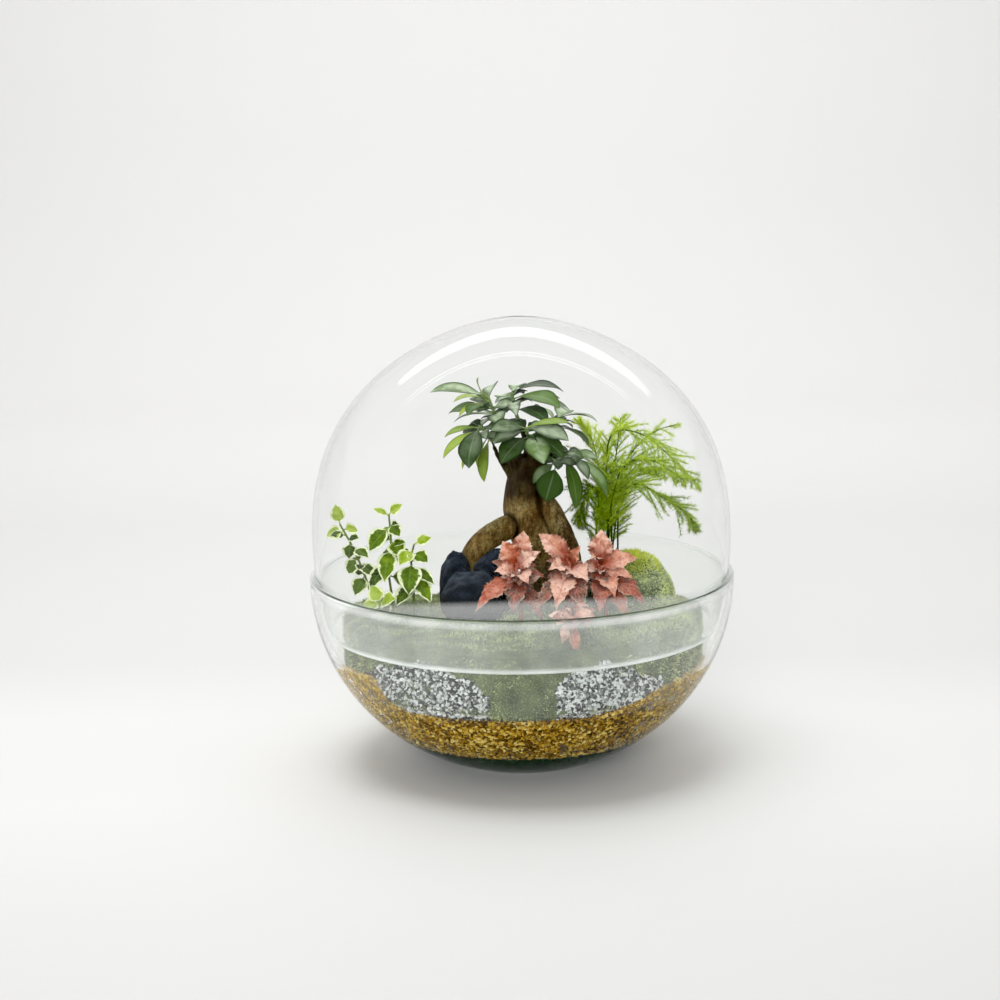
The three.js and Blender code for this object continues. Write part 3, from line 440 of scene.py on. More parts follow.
def pumice_material():
    s = Shader("pumice_gravel", Roughness=0.92, Specular_IOR_Level=0.2)
    s.color(s.share("tone"), (0, 0.02, 0.021, 0.018), (0.25, 0.09, 0.095, 0.085), (0.5, 0.36, 0.375, 0.36),
            (0.7, 0.7, 0.73, 0.72), (1, 0.94, 0.95, 0.95))
    pits = s.cells(0.9)
    # Painted shade: the pits are darker.
    s.stain(s.span(pits, 0, 0.35, 0.55, 0), (0.12, 0.12, 0.12))
    s.bump(pits, 0.6, 0.3)
    return s.material


def moss_material(name, low, middle, high, sheen=0.2):
    s = Shader(name, Roughness=0.9, Specular_IOR_Level=0.15, Sheen_Weight=sheen, Sheen_Roughness=0.5)
    tone = s.plus(s.times(s.share("tone"), 0.62), s.times(s.noise(11), 0.42), s.times(s.share("along"), 0.16))
    s.color(tone, (0.22, *low), (0.55, *middle), (0.95, *high))
    s.bump(s.noise(0.9), 0.4, 0.3)
    return s.material


def soil_material():
    s = Shader("damp_soil", Roughness=0.95)
    s.color(s.noise(3, 5), (0.3, 0.03, 0.018, 0.01), (0.7, 0.13, 0.085, 0.05))
    s.bump(s.noise(1.4, 4), 0.8, 0.8)
    return s.material


def lava_material():
    s = Shader("lava_rock", Specular_IOR_Level=0.2)
    tone = s.noise(7, 4)
    s.color(tone, (0.3, 0.002, 0.003, 0.006), (0.55, 0.008, 0.012, 0.021), (0.8, 0.04, 0.052, 0.075))
    # Painted light: faces turned up are lighter.
    s.stain(s.times(s.upward(0.1, 1, 0.8), s.spots(5, 4, 0.35, 0.65, 0.1, 1)), (0.075, 0.095, 0.13))
    pits = s.cells(1.5)
    # Painted shade: the pits are darker.
    s.stain(s.span(pits, 0, 0.4, 0.7, 0), (0.006, 0.008, 0.012))
    s.part("Roughness", s.span(tone, 0.3, 0.7, 0.5, 0.85))
    s.bump(s.plus(pits, s.noise(3, 5)), 0.9, 1.2)
    return s.material


def bark_material():
    s = Shader("ficus_bark", Roughness=0.62, Specular_IOR_Level=0.2)
    rings = s.noise(2.2, 4, 0.65, (0.3, 0.3, 1.5))
    cracks = s.noise(3.4, 4, 0.7, (1.6, 1.6, 0.4))
    s.color(s.noise(13, 5, 0.62, (1, 1, 0.5)), (0.3, 0.045, 0.02, 0.007), (0.43, 0.15, 0.08, 0.022),
            (0.54, 0.34, 0.225, 0.075), (0.7, 0.54, 0.41, 0.19))
    s.stain(s.span(rings, 0.5, 0.68, 0, 0.55), (0.11, 0.055, 0.025))
    s.stain(s.spots(20, 2, 0.48, 0.7, 0, 0.4), (0.2, 0.19, 0.06))
    s.stain(s.span(cracks, 0.5, 0.6, 0, 0.7), (0.05, 0.026, 0.01))
    s.stain(s.spots(1.6, 3, 0.5, 0.6, 0, 0.45), (0.04, 0.022, 0.008))
    s.stain(s.span(s.noise(2.1, 3, 0.7), 0.55, 0.66, 0, 0.18), (0.5, 0.4, 0.2))
    # Painted shade, carried by the across share: darker in the creases where limbs meet and on the shaded
    # right root.
    s.stain(s.share("across"), (0.022, 0.013, 0.01))
    # Painted shade under the crown: the top of the trunk, by its tone, turns nearly black in patches.
    dark = s.times(s.span(s.share("tone"), 0.5, 0.9, 0, 0.97), s.spots(8, 3, 0.3, 0.6, 1, 0.72))
    s.stain(dark, (0.008, 0.005, 0.004))
    s.bump(s.plus(s.times(rings, 0.9), s.minus(s.noise(1.2, 4), cracks)), 0.9, 1.1)
    return s.material


def veins(s, count, lean, thin):
    """1 on a leaf's side veins and 0 between, the same for its midrib, and the distance from the midrib."""
    across = s.maths("ABSOLUTE", s.share("across"))
    phase = s.minus(s.times(s.share("along"), count), s.times(across, lean))
    wave = s.maths("ABSOLUTE", s.minus(s.maths("FRACT", phase), 0.5))
    return s.span(wave, 0, thin, 1, 0), s.span(across, 0.02, 0.1, 1, 0), across


def ficus_leaf_material():
    s = Shader("ficus_leaf", Specular_IOR_Level=0.2)
    side, rib, across = veins(s, 11, 2.2, 0.09)
    tone = s.tone(9, 3, 0.06)
    s.color(tone, (0, 0.01, 0.026, 0.006), (0.35, 0.034, 0.078, 0.008), (0.62, 0.09, 0.17, 0.02),
            (0.8, 0.2, 0.3, 0.03), (1, 0.4, 0.5, 0.05))
    own = s.maths("FRACT", s.times(s.share("tone"), 41))
    # Painted sheen: faces turned up, high in the crown and near the middle of a leaf are lightened towards
    # pale grey-green, as the reflection of the light above.
    painted_sheen = s.times(s.upward(-0.8, 0.95, 0.85), s.span(tone, 0.6, 0.8, 1, 0.2),
                    s.span(own, 0.27, 0.65, 0.06, 1), s.span(across, 0.35, 0.9, 1, 0.15),
                    s.span(s.axis("Z"), 0.195, 0.232, 0.45, 1), s.spots(10, 2, 0.38, 0.58, 0.22, 1))
    s.stain(painted_sheen, (0.6, 0.69, 0.5))
    s.stain(s.times(side, 0.14), (0.2, 0.3, 0.14))
    s.stain(s.span(across, 0.75, 1, 0, 0.7), (0.012, 0.03, 0.01))
    s.stain(s.times(rib, 0.35), (0.26, 0.36, 0.18))
    s.part("Roughness", s.spots(6, 3, 0.3, 0.7, 0.34, 0.5))
    s.bump(s.plus(s.times(side, -0.5), s.times(rib, -1)), 0.35, 0.25)
    return s.material


def fittonia_leaf_material():
    s = Shader("fittonia_leaf", Roughness=0.5, Specular_IOR_Level=0.2)
    side, rib, across = veins(s, 7, 2.6, 0.16)
    tone = s.tone(7, 3, 0.15)
    s.color(tone, (0, 0.015, 0.022, 0.006), (0.14, 0.2, 0.025, 0.006), (0.28, 0.46, 0.08, 0.015),
            (0.5, 0.66, 0.21, 0.09), (0.75, 0.8, 0.42, 0.3), (1, 0.88, 0.62, 0.52))
    net = s.span(s.cells(2.2, "DISTANCE_TO_EDGE"), 0, 0.14, 0.7, 0)
    pale = s.maths("MAXIMUM", s.maths("MAXIMUM", side, rib), net)
    s.stain(s.times(pale, 0.35), (0.9, 0.6, 0.54))
    s.stain(s.times(s.spots(6, 3, 0.55, 0.7), s.spots(2, 2, 0.4, 0.6), 0.5), (0.36, 0.34, 0.12))
    s.stain(s.times(s.span(across, 0.74, 0.98), s.spots(5, 2, 0.35, 0.55), 0.6), (0.86, 0.72, 0.56))
    s.stain(s.spots(3.2, 3, 0.48, 0.64, 0, 0.7), (0.28, 0.03, 0.004))
    # Painted light: faces turned up are lightened to pale pink.
    s.stain(s.times(s.upward(0.35, 0.95, 0.5), s.span(tone, 0.25, 0.6, 0.2, 1)), (0.9, 0.68, 0.6))
    s.stain(s.span(s.share("along"), 0.05, 0.5, 0.8, 0), (0.32, 0.03, 0.004))
    # Painted shade: faces turned down are darkened towards deep red.
    s.stain(s.span(s.upward(-0.5, 0.45, 1), 0, 1, 0.75, 0), (0.15, 0.012, 0.002))
    s.stain(s.times(rib, 0.4), (0.46, 0.07, 0.03))
    s.bump(s.plus(pale, s.noise(1.5, 2)), 0.4, 0.35)
    return s.material


def fig_leaf_material():
    s = Shader("fig_leaf", Roughness=0.42, Specular_IOR_Level=0.12)
    side, rib, across = veins(s, 6, 1.8, 0.12)
    s.color(s.tone(4, 3, 0.2), (0, 0.012, 0.03, 0.002), (0.45, 0.1, 0.18, 0.004), (0.72, 0.24, 0.35, 0.01),
            (1, 0.45, 0.56, 0.1))
    s.stain(s.times(s.maths("MAXIMUM", side, rib), 0.25), (0.36, 0.46, 0.14))
    ends = s.span(s.maths("ABSOLUTE", s.minus(s.share("along"), 0.5)), 0.3, 0.5, 0, 0.35)
    margin = s.plus(across, s.spots(2.6, 2, 0.25, 0.75, -0.2, 0.2), ends)
    s.stain(s.span(margin, 0.66, 0.8), (0.84, 0.88, 0.56))
    s.bump(s.times(side, -1), 0.3, 0.2)
    return s.material


def fern_material():
    s = Shader("asparagus_fern", Roughness=0.6, Specular_IOR_Level=0.15)
    s.color(s.tone(20, 2, 0.1), (0, 0.03, 0.035, 0.012), (0.16, 0.04, 0.11, 0.004), (0.45, 0.29, 0.47, 0.006),
            (1, 0.72, 0.85, 0.09))
    s.bump(s.noise(0.6, 2), 0.2, 0.1)
    return s.material


# Glass

def super_round(radius, depth, z):
    drop = (RIM_HEIGHT - np.asarray(z, float)) / depth
    return radius * (1 - drop ** BOWL_POWER) ** (1 / BOWL_POWER)


def bowl_inside(z):
    return super_round(RIM_INNER_RADIUS, BOWL_INNER_DEPTH, np.minimum(z, RIM_HEIGHT))


def dome_outside(z):
    z = np.asarray(z, float)
    below = np.maximum(DOME_WIDEST - z, 0) / (DOME_WIDEST - NECK_BOTTOM)
    low = DOME_RADIUS - (DOME_RADIUS - NECK_RADIUS) * below ** 1.9
    rise = np.clip((z - DOME_WIDEST) / (DOME_TOP - DOME_WIDEST), 0, 1)
    high = DOME_RADIUS * (1 - rise ** 2.45) ** (1 / 1.72)
    return np.where(z < DOME_WIDEST, low, high)


def dome_inside(z):
    """About the radius of the free room in the dome at a height."""
    return dome_outside(np.minimum(np.asarray(z, float) + 3, DOME_TOP - 2)) - DOME_WALL - 1


def half_round(middle, radius, start, end, steps):
    """Points on an arc from one angle to another."""
    turns = np.radians(np.linspace(start, end, steps))
    return [(middle[0] + radius * math.cos(t), middle[1] + radius * math.sin(t)) for t in turns]


def make_bowl():
    lip = (RIM_RADIUS - RIM_INNER_RADIUS) / 2
    floor_top = FLOOR_HEIGHT + 1
    shares = np.linspace(0, 1, 46) ** 1.5
    outer = [(super_round(RIM_RADIUS, BOWL_DEPTH, z), z) for z in shares * (RIM_HEIGHT - lip)]
    inner = [(bowl_inside(z), z) for z in floor_top + shares[::-1] * (RIM_HEIGHT - lip - floor_top)]
    edge = half_round((RIM_RADIUS - lip, RIM_HEIGHT - lip), lip, 0, 180, 12)
    floor_edge = float(bowl_inside(floor_top))
    foot = outer[0][0]
    base = [(0, 0.6), (foot - 8, 0.5), (foot - 4, 0), (foot - 1, 0)]
    profile = base + outer[1:] + edge[1:-1] + inner + [(floor_edge - 3, FLOOR_HEIGHT), (0, FLOOR_HEIGHT)]
    mass = Mass()
    lathe(mass, profile)
    # Painted highlights: the white bands at the foot and just under the rim. The dark green foot is the
    # glass's own tint and also a painted reflection of the dark moss above it.
    tint = [(0, 0.9, 0.95, 0.93), (1.6, 0.9, 0.95, 0.93), (2.2, 0.5, 0.66, 0.56), (8, 0.6, 0.76, 0.66),
            (15, 0.92, 0.97, 0.94), (40, 0.985, 0.992, 0.985), (127.2, 0.985, 0.992, 0.985)]
    film_and_highlights = [(0, 0.4), (1.6, 0.4), (2.2, 0), (55, 0), (61, 0.042), (90, 0.045), (120, 0.045), (121.5, 0.2),
            (124.6, 0.24), (125.4, 0)]
    mass.make("bowl_glass", glass_material("bowl_glass", BOWL_IOR, tint, film_and_highlights, lip=True), ("bowl",))


def make_dome():
    half = DOME_WALL / 2
    low = np.linspace(NECK_BOTTOM + half, DOME_WIDEST, 22)[1:]
    high = DOME_WIDEST + (DOME_TOP - DOME_WIDEST) * np.sin(np.linspace(0, math.pi / 2, 54))[1:-1]
    outer, inner = [], []
    for z in np.concatenate([low, high]):
        slope = float(dome_outside(z + 0.05) - dome_outside(z - 0.05)) / 0.1
        scale = DOME_WALL / math.hypot(1, slope)
        r = float(dome_outside(z))
        outer.append((r, z))
        inner.append((r - scale, z + slope * scale))
    inner = [p for p in inner if p[0] > 2]
    foot = half_round((NECK_RADIUS - half, NECK_BOTTOM + half), half, 180, 360, 10)
    mass = Mass()
    lathe(mass, [(0, DOME_TOP - DOME_WALL)] + inner[::-1] + foot + outer + [(0, DOME_TOP)])
    # Painted highlight: the white band along the lower edge of the neck, below 94.6 mm.
    tint = [(0, 0.985, 0.99, 0.985), (90, 0.9, 0.93, 0.91), (93, 0.985, 0.99, 0.985),
            (300, 0.985, 0.99, 0.985)]
    film_and_highlights = [(0, 0.55), (92.6, 0.5), (94.6, 0.11), (118, 0.1), (126.5, 0.12), (128, 0), (300, 0)]
    mass.make("dome_glass", glass_material("dome_glass", DOME_IOR, tint, film_and_highlights, veil=0.17), ("dome",))


# Ground

def ground(x, y):
    """Height of the moss carpet."""
    r = np.minimum(np.hypot(x, y) / GROUND_RADIUS, 1)
    slope = GROUND_EDGE + (GROUND_MIDDLE - GROUND_EDGE) * (1 - r * r)
    hill = 5 * np.exp(-((x - 28) / 46) ** 2 - ((y + 84) / 22) ** 2)
    fall = GROUND_BACK_DROP * (np.maximum(y, 0) / GROUND_RADIUS) ** 1.3
    lumps = 1.1 * np.sin(x / 9 + 1) * np.sin(y / 8 + 2)
    bumps = 0.7 * np.sin(x / 4.3) * np.sin(y / 5.1 + 1)
    return slope + hill - fall + lumps + bumps


def at_wall(angle, z, inset):
    """Places on the inside of the bowl's wall or inset from it, with the outward direction there."""
    slope = bowl_inside(z + 0.5) - bowl_inside(z - 0.5)
    return polar(bowl_inside(z) - inset, angle, z), unit(polar(1, angle, -slope))


def make_bottom_moss():
    low, high = FLOOR_HEIGHT - 0.1, BOTTOM_MOSS_TOP + 1.5
    number = 9000
    mass = Mass()
    side = [(float(bowl_inside(z)) + 0.1, z) for z in np.linspace(low, high, 10)]
    lathe(mass, [(0, low)] + side + [(0, high)], 0.2)
    z = rng.uniform(FLOOR_HEIGHT + 1, BOTTOM_MOSS_TOP + 2.5, number)
    place, out = at_wall(rng.uniform(0, 2 * math.pi, number), z, 0.3)
    tufts(mass, place, out * 0.3 + [0, 0, 0.2], rng.random(number) * 0.9, length=2, width=0.8, lean=0.5)
    material = moss_material("dark_moss", (0.002, 0.02, 0.004), (0.006, 0.05, 0.012), (0.03, 0.13, 0.03), 0)
    mass.make("dark_moss_layer", material, ("bottom_moss",), smooth=False)


# Angles and heights
VERMICULITE_HEAPS = [
    (0, 64), (12, 57), (172, 57), (184, 60), (194, 69), (206, 75), (221, 77), (225, 63), (232, 57),
    (290, 57.5), (303, 62), (314, 69), (327, 72), (346, 71), (360, 64),
]


def vermiculite_top(degrees):
    """Height of the flakes against the glass, heaped up on both sides of the front."""
    return np.interp(np.asarray(degrees, float) % 360, *zip(*VERMICULITE_HEAPS))


def make_vermiculite():
    low = BOTTOM_MOSS_TOP + 1.7
    degrees = np.arange(0, 360, 2)
    top = vermiculite_top(degrees)
    rows = []
    for share in np.linspace(0, 1, 16):
        z = low + (top - low) * share
        rows.append((bowl_inside(z) - 0.35, z))
    heap = np.clip((top - VERMICULITE_TOP) / 3, 0, 1)
    inner = PUMICE_RADIUS + 0.3 - 3 * (1 - heap)
    rows.append(((rows[-1][0] + inner) / 2, top + 0.5))
    rows.append((inner, top - 1.5 * heap))
    rings = [polar(r, np.radians(degrees), z) for r, z in rows]
    mass = Mass()
    side, quads = capped(mass, rings, [(0, 0, low), (0, 0, VERMICULITE_TOP)], 0.2)
    number, rim_number = 13000, 3500
    angle = rng.uniform(0, 2 * math.pi, number)
    low, high = BOTTOM_MOSS_TOP + 2, vermiculite_top(np.degrees(angle)) + 0.8
    place, out = at_wall(angle, low + (high - low) * rng.random(number), -0.3)

    def near_top(p):
        return p[:, 2] > vermiculite_top(np.degrees(np.arctan2(p[:, 1], p[:, 0]))) - 1.6

    rim, rim_out = scatter(side, quads, rim_number, near_top)
    place, out = np.vstack([place, rim]), np.vstack([out, rim_out])
    tones = np.clip(rng.beta(0.95, 0.9, len(place)) + 0.16 * rough(place, 9), 0, 1)
    grains(mass, place, out, tones, size=3.3, flat=0.35, tilt=0.5)
    mass.make("vermiculite_layer", vermiculite_material(), ("vermiculite",), smooth=False)


# Two heaps against the wall: name, first and last angle, top, depth, and how far the top leans to one end
PUMICE = [("pumice_left", 206, 260, 91, 16, 1.5), ("pumice_right", 280, 316, 92, 15, 0.6)]


def make_pumice(name, start, end, top, depth, lean):
    low = VERMICULITE_TOP + 0.4
    sections = []
    for degrees in np.linspace(start, end, 40):
        share = np.clip(((degrees - start) / (end - start)) ** lean, 0.06, 0.94)
        swell = math.sin(math.pi * share) ** 0.4
        wander = 1.6 * math.sin(degrees / 3.1) + 1.1 * math.sin(degrees / 1.3 + 1)
        high = low + (top - low) * swell + wander
        thick = 4 + depth * swell
        z = np.linspace(low, high - 1, 8)
        r = np.minimum(bowl_inside(z) - 1.6, PUMICE_RADIUS - 1)
        r = np.append(r, [r[-1] - 0.5 * thick, r[0] - thick, r[0] - thick])
        z = np.append(z, [high, low + 0.3 * (high - low), low])
        sections.append(polar(r, math.radians(degrees), z))
    mass = Mass()
    # The heap under the grains is near black, painted shade in the gaps between them.
    side, quads = capped(mass, sections, tone=0.05, turned=True)
    number = 4300
    place, out = scatter(side, quads, number, lambda p: np.hypot(p[:, 0], p[:, 1]) > PUMICE_RADIUS - depth)
    tones = np.clip(rng.beta(0.85, 0.8, number) + 0.1 * rough(place, 5), 0, 1)
    place = place + out * rng.uniform(-0.3, 0.9, (number, 1))
    grains(mass, place, out, tones, size=2.9, flat=0.75, tilt=0.8)
    mass.make(name + "_gravel", MATERIALS["pumice"], (name,), smooth=False)


def make_moss_carpet():
    angles = turn(MOSS_SIDES)
    hidden_radius = 112
    radii = [12, 24, 36, 48, 60, 72, 84, 94, 103, 110, 114.5, 117, 118.6]
    rows = []
    for r in radii:
        x, y = r * np.cos(angles), r * np.sin(angles)
        drop = 3.2 * max(0, (r - 112) / 6.6) ** 2
        rows.append(np.stack([x, y, ground(x, y) - drop], 1))
    top = rows[-1][:, 2]
    for share in np.linspace(0.12, 1, 14):
        rows.append(polar(MOSS_RADIUS, angles, top + (WALL_CONTACT_TOP - top) * share))
    degrees = np.degrees(angles)
    behind = np.zeros(MOSS_SIDES)
    for _, start, end, *_ in PUMICE:
        behind = np.maximum(behind, np.clip(np.minimum(degrees - start, end - degrees) / 4, 0, 1))
    for z in (61, 59, VERMICULITE_TOP + 0.5):
        r = (float(bowl_inside(z)) - 0.6) * (1 - behind) + hidden_radius * behind
        rows.append(polar(r, angles, z))
    flat = np.concatenate(rows)
    outward = unit(flat * [1, 1, 0])
    side = np.repeat(np.arange(len(rows)) >= len(radii) - 2, MOSS_SIDES)
    bump = rough(flat, 7)
    swell = np.clip(1.6 * rough(flat, 13, 8) + 0.9 * np.minimum(bump, 0.2), -2.2, 2.6)
    swell = np.where(flat[:, 2] > 66, swell, np.minimum(swell, 0))
    flat = flat + outward * (swell * side)[:, None]
    flat[:, 2] += np.where(side, 0, 0.9 * bump)
    quads = grid_faces(len(rows), MOSS_SIDES, True)[:, ::-1]
    hub = [0, 0, float(ground(0, 0))]
    mass = Mass()
    mass.add(np.vstack([flat, hub]), [quads, fan(0, MOSS_SIDES, len(flat))], 0.12)
    number = 52000
    place, out = scatter(flat, quads, number)
    x, y, z = place.T
    clump = rough(place, 6, 2)
    patch = sway(place, 17, 4)
    shelf = np.exp(-((z - 99 - 2 * sway(place, 14, 6)) / 2.6) ** 2) * (np.hypot(x, y) > 112)
    tones = 0.45 + 0.3 * clump + 0.3 * patch - 0.3 * shelf + 0.25 * (rng.random(number) - 0.5)
    tones = np.clip(np.clip(tones, 0, 1) + 0.22 * np.clip((x - 55) / 25, 0, 1), 0, 1)
    tufts(mass, place, out, tones, length=2.3 + 0.7 * clump[:, None], width=0.62, lean=0.45)
    mass.make("moss_carpet_tufts", MATERIALS["moss"], ("moss_carpet",), smooth=False)


def ball(rings, sides):
    """Directions all round, ring by ring from the bottom to the top."""
    tilt = np.linspace(0.02, math.pi - 0.02, rings)[:, None]
    return polar(np.sin(tilt), turn(sides), -np.cos(tilt))


def make_mound():
    way = ball(50, 72)
    rings = np.array([72.5, 2, 96]) + way * [30, 33, 40]
    rings += way * (1.6 * rough(rings, 9, 1))[..., None]
    mass = Mass()
    side, quads = capped(mass, rings, tone=0.15)
    number = 21000
    place, out = scatter(side, quads, number, lambda p: p[:, 2] > 84)
    x, y, z = place.T
    clump = rough(place, 5, 7)
    lit = np.clip((z - 124) / 8 + 0.3 * clump, 0, 1)
    shaded = np.clip((63 - x) / 8, 0, 1) * np.clip((134 - z) / 8, 0, 1)
    tones = np.clip(0.42 + 0.26 * clump + 0.5 * lit + 0.4 * (rng.random(number) - 0.5) - shaded, 0, 1)
    tufts(mass, place, out, tones, length=2.7 + 2.2 * lit[:, None], width=0.6, lean=0.55)
    material = moss_material("mound_moss", (0.02, 0.035, 0.01), (0.78, 0.86, 0.52), (0.7, 0.76, 0.03))
    mass.make("moss_mound_tufts", material, ("moss_mound",), smooth=False)


# Name, middle, half sizes and seed
STONES = [
    ("lava_stone_front", (-32, -38, 116), (19, 13, 18), 3),
    ("lava_stone_left", (-43, -24, 119), (10, 9, 24), 8),
    ("lava_stone_back", (-18, -25, 124), (13, 7.5, 21), 21),
]


def make_stone(name, middle, half, seed):
    """A block that flat planes cut out of a rounded one."""
    way = ball(40, 56)
    own = np.random.default_rng(seed)
    planes = unit(own.normal(size=(22, 3)))
    reach = own.uniform(0.9, 1.02, 22)
    planes[0], reach[0] = unit([-0.5, -0.25, 0.83]), 0.86
    facing = way @ planes.T
    flat = np.min(np.where(facing > 0.25, reach / np.maximum(facing, 0.25), 9), axis=-1)
    blocky = np.sum(np.abs(way) ** 3, axis=-1) ** (-1 / 3)
    rings = way * (np.minimum(flat, 1.05) * np.minimum(blocky, 1.12))[..., None]
    rings += way * (0.035 * rough(rings * 20, 3.5, seed))[..., None]
    mass = Mass()
    capped(mass, np.array(middle) + rings * half)
    mass.make(name + "_rock", MATERIALS["lava"], (name,))


# Plants

# Lines and radii of the trunk, the three roots and the two stubs
TRUNK_LIMBS = [
    ([(15, 5, 92), (14, 4, 116), (11, 4, 142), (7, 4, 158), (5, 5, 171), (4.5, 5, 183), (5.5, 5, 193),
      (6, 5, 200)], [11, 12.5, 15, 17, 16.4, 13.8, 11, 8.5]),
    ([(0, 0, 158), (-11, -6, 156), (-22, -9, 150), (-31, -10, 140), (-37, -10, 126), (-39, -10, 110),
      (-39, -10, 92)], [7.4, 7.8, 8, 7.8, 7.2, 6, 4]),
    ([(12, -2, 182), (19, -7, 169), (26, -10, 156), (31, -12, 143), (34, -13, 128), (35, -13, 112),
      (35, -13, 92)], [5, 6.6, 7, 6.6, 5.8, 5, 4]),
    ([(8, 12, 165), (10, 22, 148), (10, 28, 128), (10, 30, 112), (10, 30, 90)], [7, 7, 6.4, 5.6, 4.5]),
    ([(1, 3, 192), (-5, 2, 201), (-7, 2, 205)], [5.5, 4.6, 4]),
    ([(11, 4, 192), (14, 3, 202), (15, 3, 206)], [5.5, 4.8, 4.2]),
]
# Each carries the ficus shoot of the same name
BRANCHES = {
    "left": ([(-3, 4, 184), (-14, 0, 203), (-18, -6, 214)], [2.4, 1.8, 1.4]),
    "top_left": ([(2, 5, 196), (-6, 5, 212), (-13, 3, 224)], [3.2, 2.2, 1.6]),
    "top_right": ([(6, 6, 196), (4, 9, 212), (-1, 11, 226)], [3, 2.2, 1.6]),
    "front": ([(7, 3, 198), (8, -6, 208), (7, -12, 214)], [2.6, 2, 1.5]),
    "right": ([(10, 5, 197), (18, 0, 203), (24, -7, 206)], [2.6, 2, 1.4]),
    "low_right": ([(13, 3, 198), (18, -6, 201), (21, -13, 202)], [2.2, 1.8, 1.3]),
    "back_left": ([(2, 8, 196), (-6, 18, 208), (-10, 25, 214)], [2.6, 2, 1.5]),
    "back_right": ([(8, 9, 196), (16, 20, 208), (20, 26, 214)], [2.6, 2, 1.5]),
}


def remeshed(mass, voxel):
    """Points, outward directions and quads of the mass joined into one skin."""
    mesh = bpy.data.meshes.new("rough")
    faces = [face for block in mass.faces for face in block.tolist()]
    mesh.from_pydata(np.concatenate(mass.points).tolist(), [], faces)
    helper = new_object("rough", mesh)
    join = helper.modifiers.new("join", "REMESH")
    join.mode = "VOXEL"
    join.voxel_size = voxel
    ease = helper.modifiers.new("ease", "SMOOTH")
    ease.factor = 0.5
    ease.iterations = 6
    found = helper.evaluated_get(bpy.context.evaluated_depsgraph_get()).to_mesh()
    skin = np.empty(len(found.vertices) * 3)
    found.vertices.foreach_get("co", skin)
    out = np.empty(len(found.vertices) * 3)
    found.vertices.foreach_get("normal", out)
    quads = np.array([tuple(p.vertices) for p in found.polygons if len(p.vertices) == 4])
    bpy.data.objects.remove(helper)
    return skin.reshape(-1, 3), out.reshape(-1, 3), quads


def trunk_creases(skin):
    """1 where two limbs of the trunk meet, falling to 0 a few millimetres from there."""
    gaps = []
    for path, radii in TRUNK_LIMBS:
        line = smooth_path(path, 5)
        reach = np.interp(np.linspace(0, 1, len(line)), np.linspace(0, 1, len(radii)), radii)
        gaps.append(np.min(np.linalg.norm(skin[:, None] - line[None], axis=2) - reach, axis=1))
    second = np.sort(np.array(gaps), axis=0)[1]
    return np.clip(1 - np.abs(second - 0.4) / 2.2, 0, 1) * (skin[:, 2] < 190)


def make_trunk():
    limbs = Mass()
    for path, radii in TRUNK_LIMBS:
        tube(limbs, smooth_path(path, 6), radii, 24)
    for path, radii in BRANCHES.values():
        tube(limbs, smooth_path(path, 5), radii, 12)
    skin, out, quads = remeshed(limbs, 1.1)
    crease = trunk_creases(skin)
    folds = 0.7 * rough(skin * [1, 1, 0.45], 6.5, 2)
    rings = -0.5 * np.abs(sway(skin * [0.25, 0.25, 1], 2.2, 5)) ** 3
    skin = skin + out * (0.3 + 0.9 * folds + rings - 1.1 * crease)[:, None]
    # The tone carries painted shade under the crown, rising towards the top of the trunk.
    crown_shade = np.clip((skin[:, 2] - 170 + 4 * sway(skin, 9, 3)) / 12, 0, 1)
    shaded = 0.42 * np.clip((skin[:, 0] - 20) / 8, 0, 1) * (skin[:, 1] < 0)
    # The across share carries painted shade, in the creases and on the shaded right root.
    crease = np.maximum(crease, shaded)
    mass = Mass()
    mass.add(skin, quads, 0.4 + 0.6 * crown_shade, 0, crease)
    mass.make("ficus_trunk_bark", bark_material(), ("ficus_trunk",))


# Leaves of each kind. The outline is the half width along the blade. The random leaves inside a shoot have
# a number, length and width. Young leaves are narrow or high on the stem, and have the second pair of tones.
STYLES = {
    "ficus": SimpleNamespace(
        petiole=0.12, arch=0.11, fold=0.16, wave=0.03, waves=1.5, teeth=0, rows=15, thick=0.5,
        outline=[(0, 0.03), (0.1, 0.3), (0.28, 0.72), (0.45, 0.93), (0.58, 1), (0.72, 0.9), (0.84, 0.64),
                 (0.93, 0.36), (1, 0.02)],
        inner_leaves=(6, 15, 8.5), stem_radii=(1.4, 0.9), stem_tone=0.7,
        tones=((0.12, 0.62), (0.8, 0.98)), young_width=8.5, young_from=2, node="ficus_shoot", back=0),
    "fittonia": SimpleNamespace(
        petiole=0.08, arch=0.13, fold=0.26, wave=0.15, waves=3.2, teeth=0.1, rows=31, thick=0.4,
        outline=[(0, 0.05), (0.1, 0.5), (0.22, 0.86), (0.36, 1), (0.5, 0.97), (0.64, 0.76), (0.8, 0.42),
                 (0.92, 0.16), (1, 0.02)],
        inner_leaves=(17, 17, 8.5), stem_radii=(1.3, 0.9), stem_tone=0.3,
        tones=((0.05, 0.4), (0.4, 1)), young_width=0, young_from=0.55, node="fittonia", back=20),
    "fig": SimpleNamespace(
        petiole=0.16, arch=0.08, fold=0.18, wave=0.06, waves=2, teeth=0, rows=13, thick=0.35,
        outline=[(0, 0.12), (0.06, 0.5), (0.16, 0.84), (0.32, 1), (0.5, 0.97), (0.7, 0.74), (0.86, 0.42),
                 (0.95, 0.18), (1, 0.02)],
        inner_leaves=(7, 10, 7.5), stem_radii=(0.9, 0.6), stem_tone=0.3,
        tones=((0.1, 0.6), (0.75, 1)), young_width=0, young_from=0.9, node="creeping_fig", back=25),
}


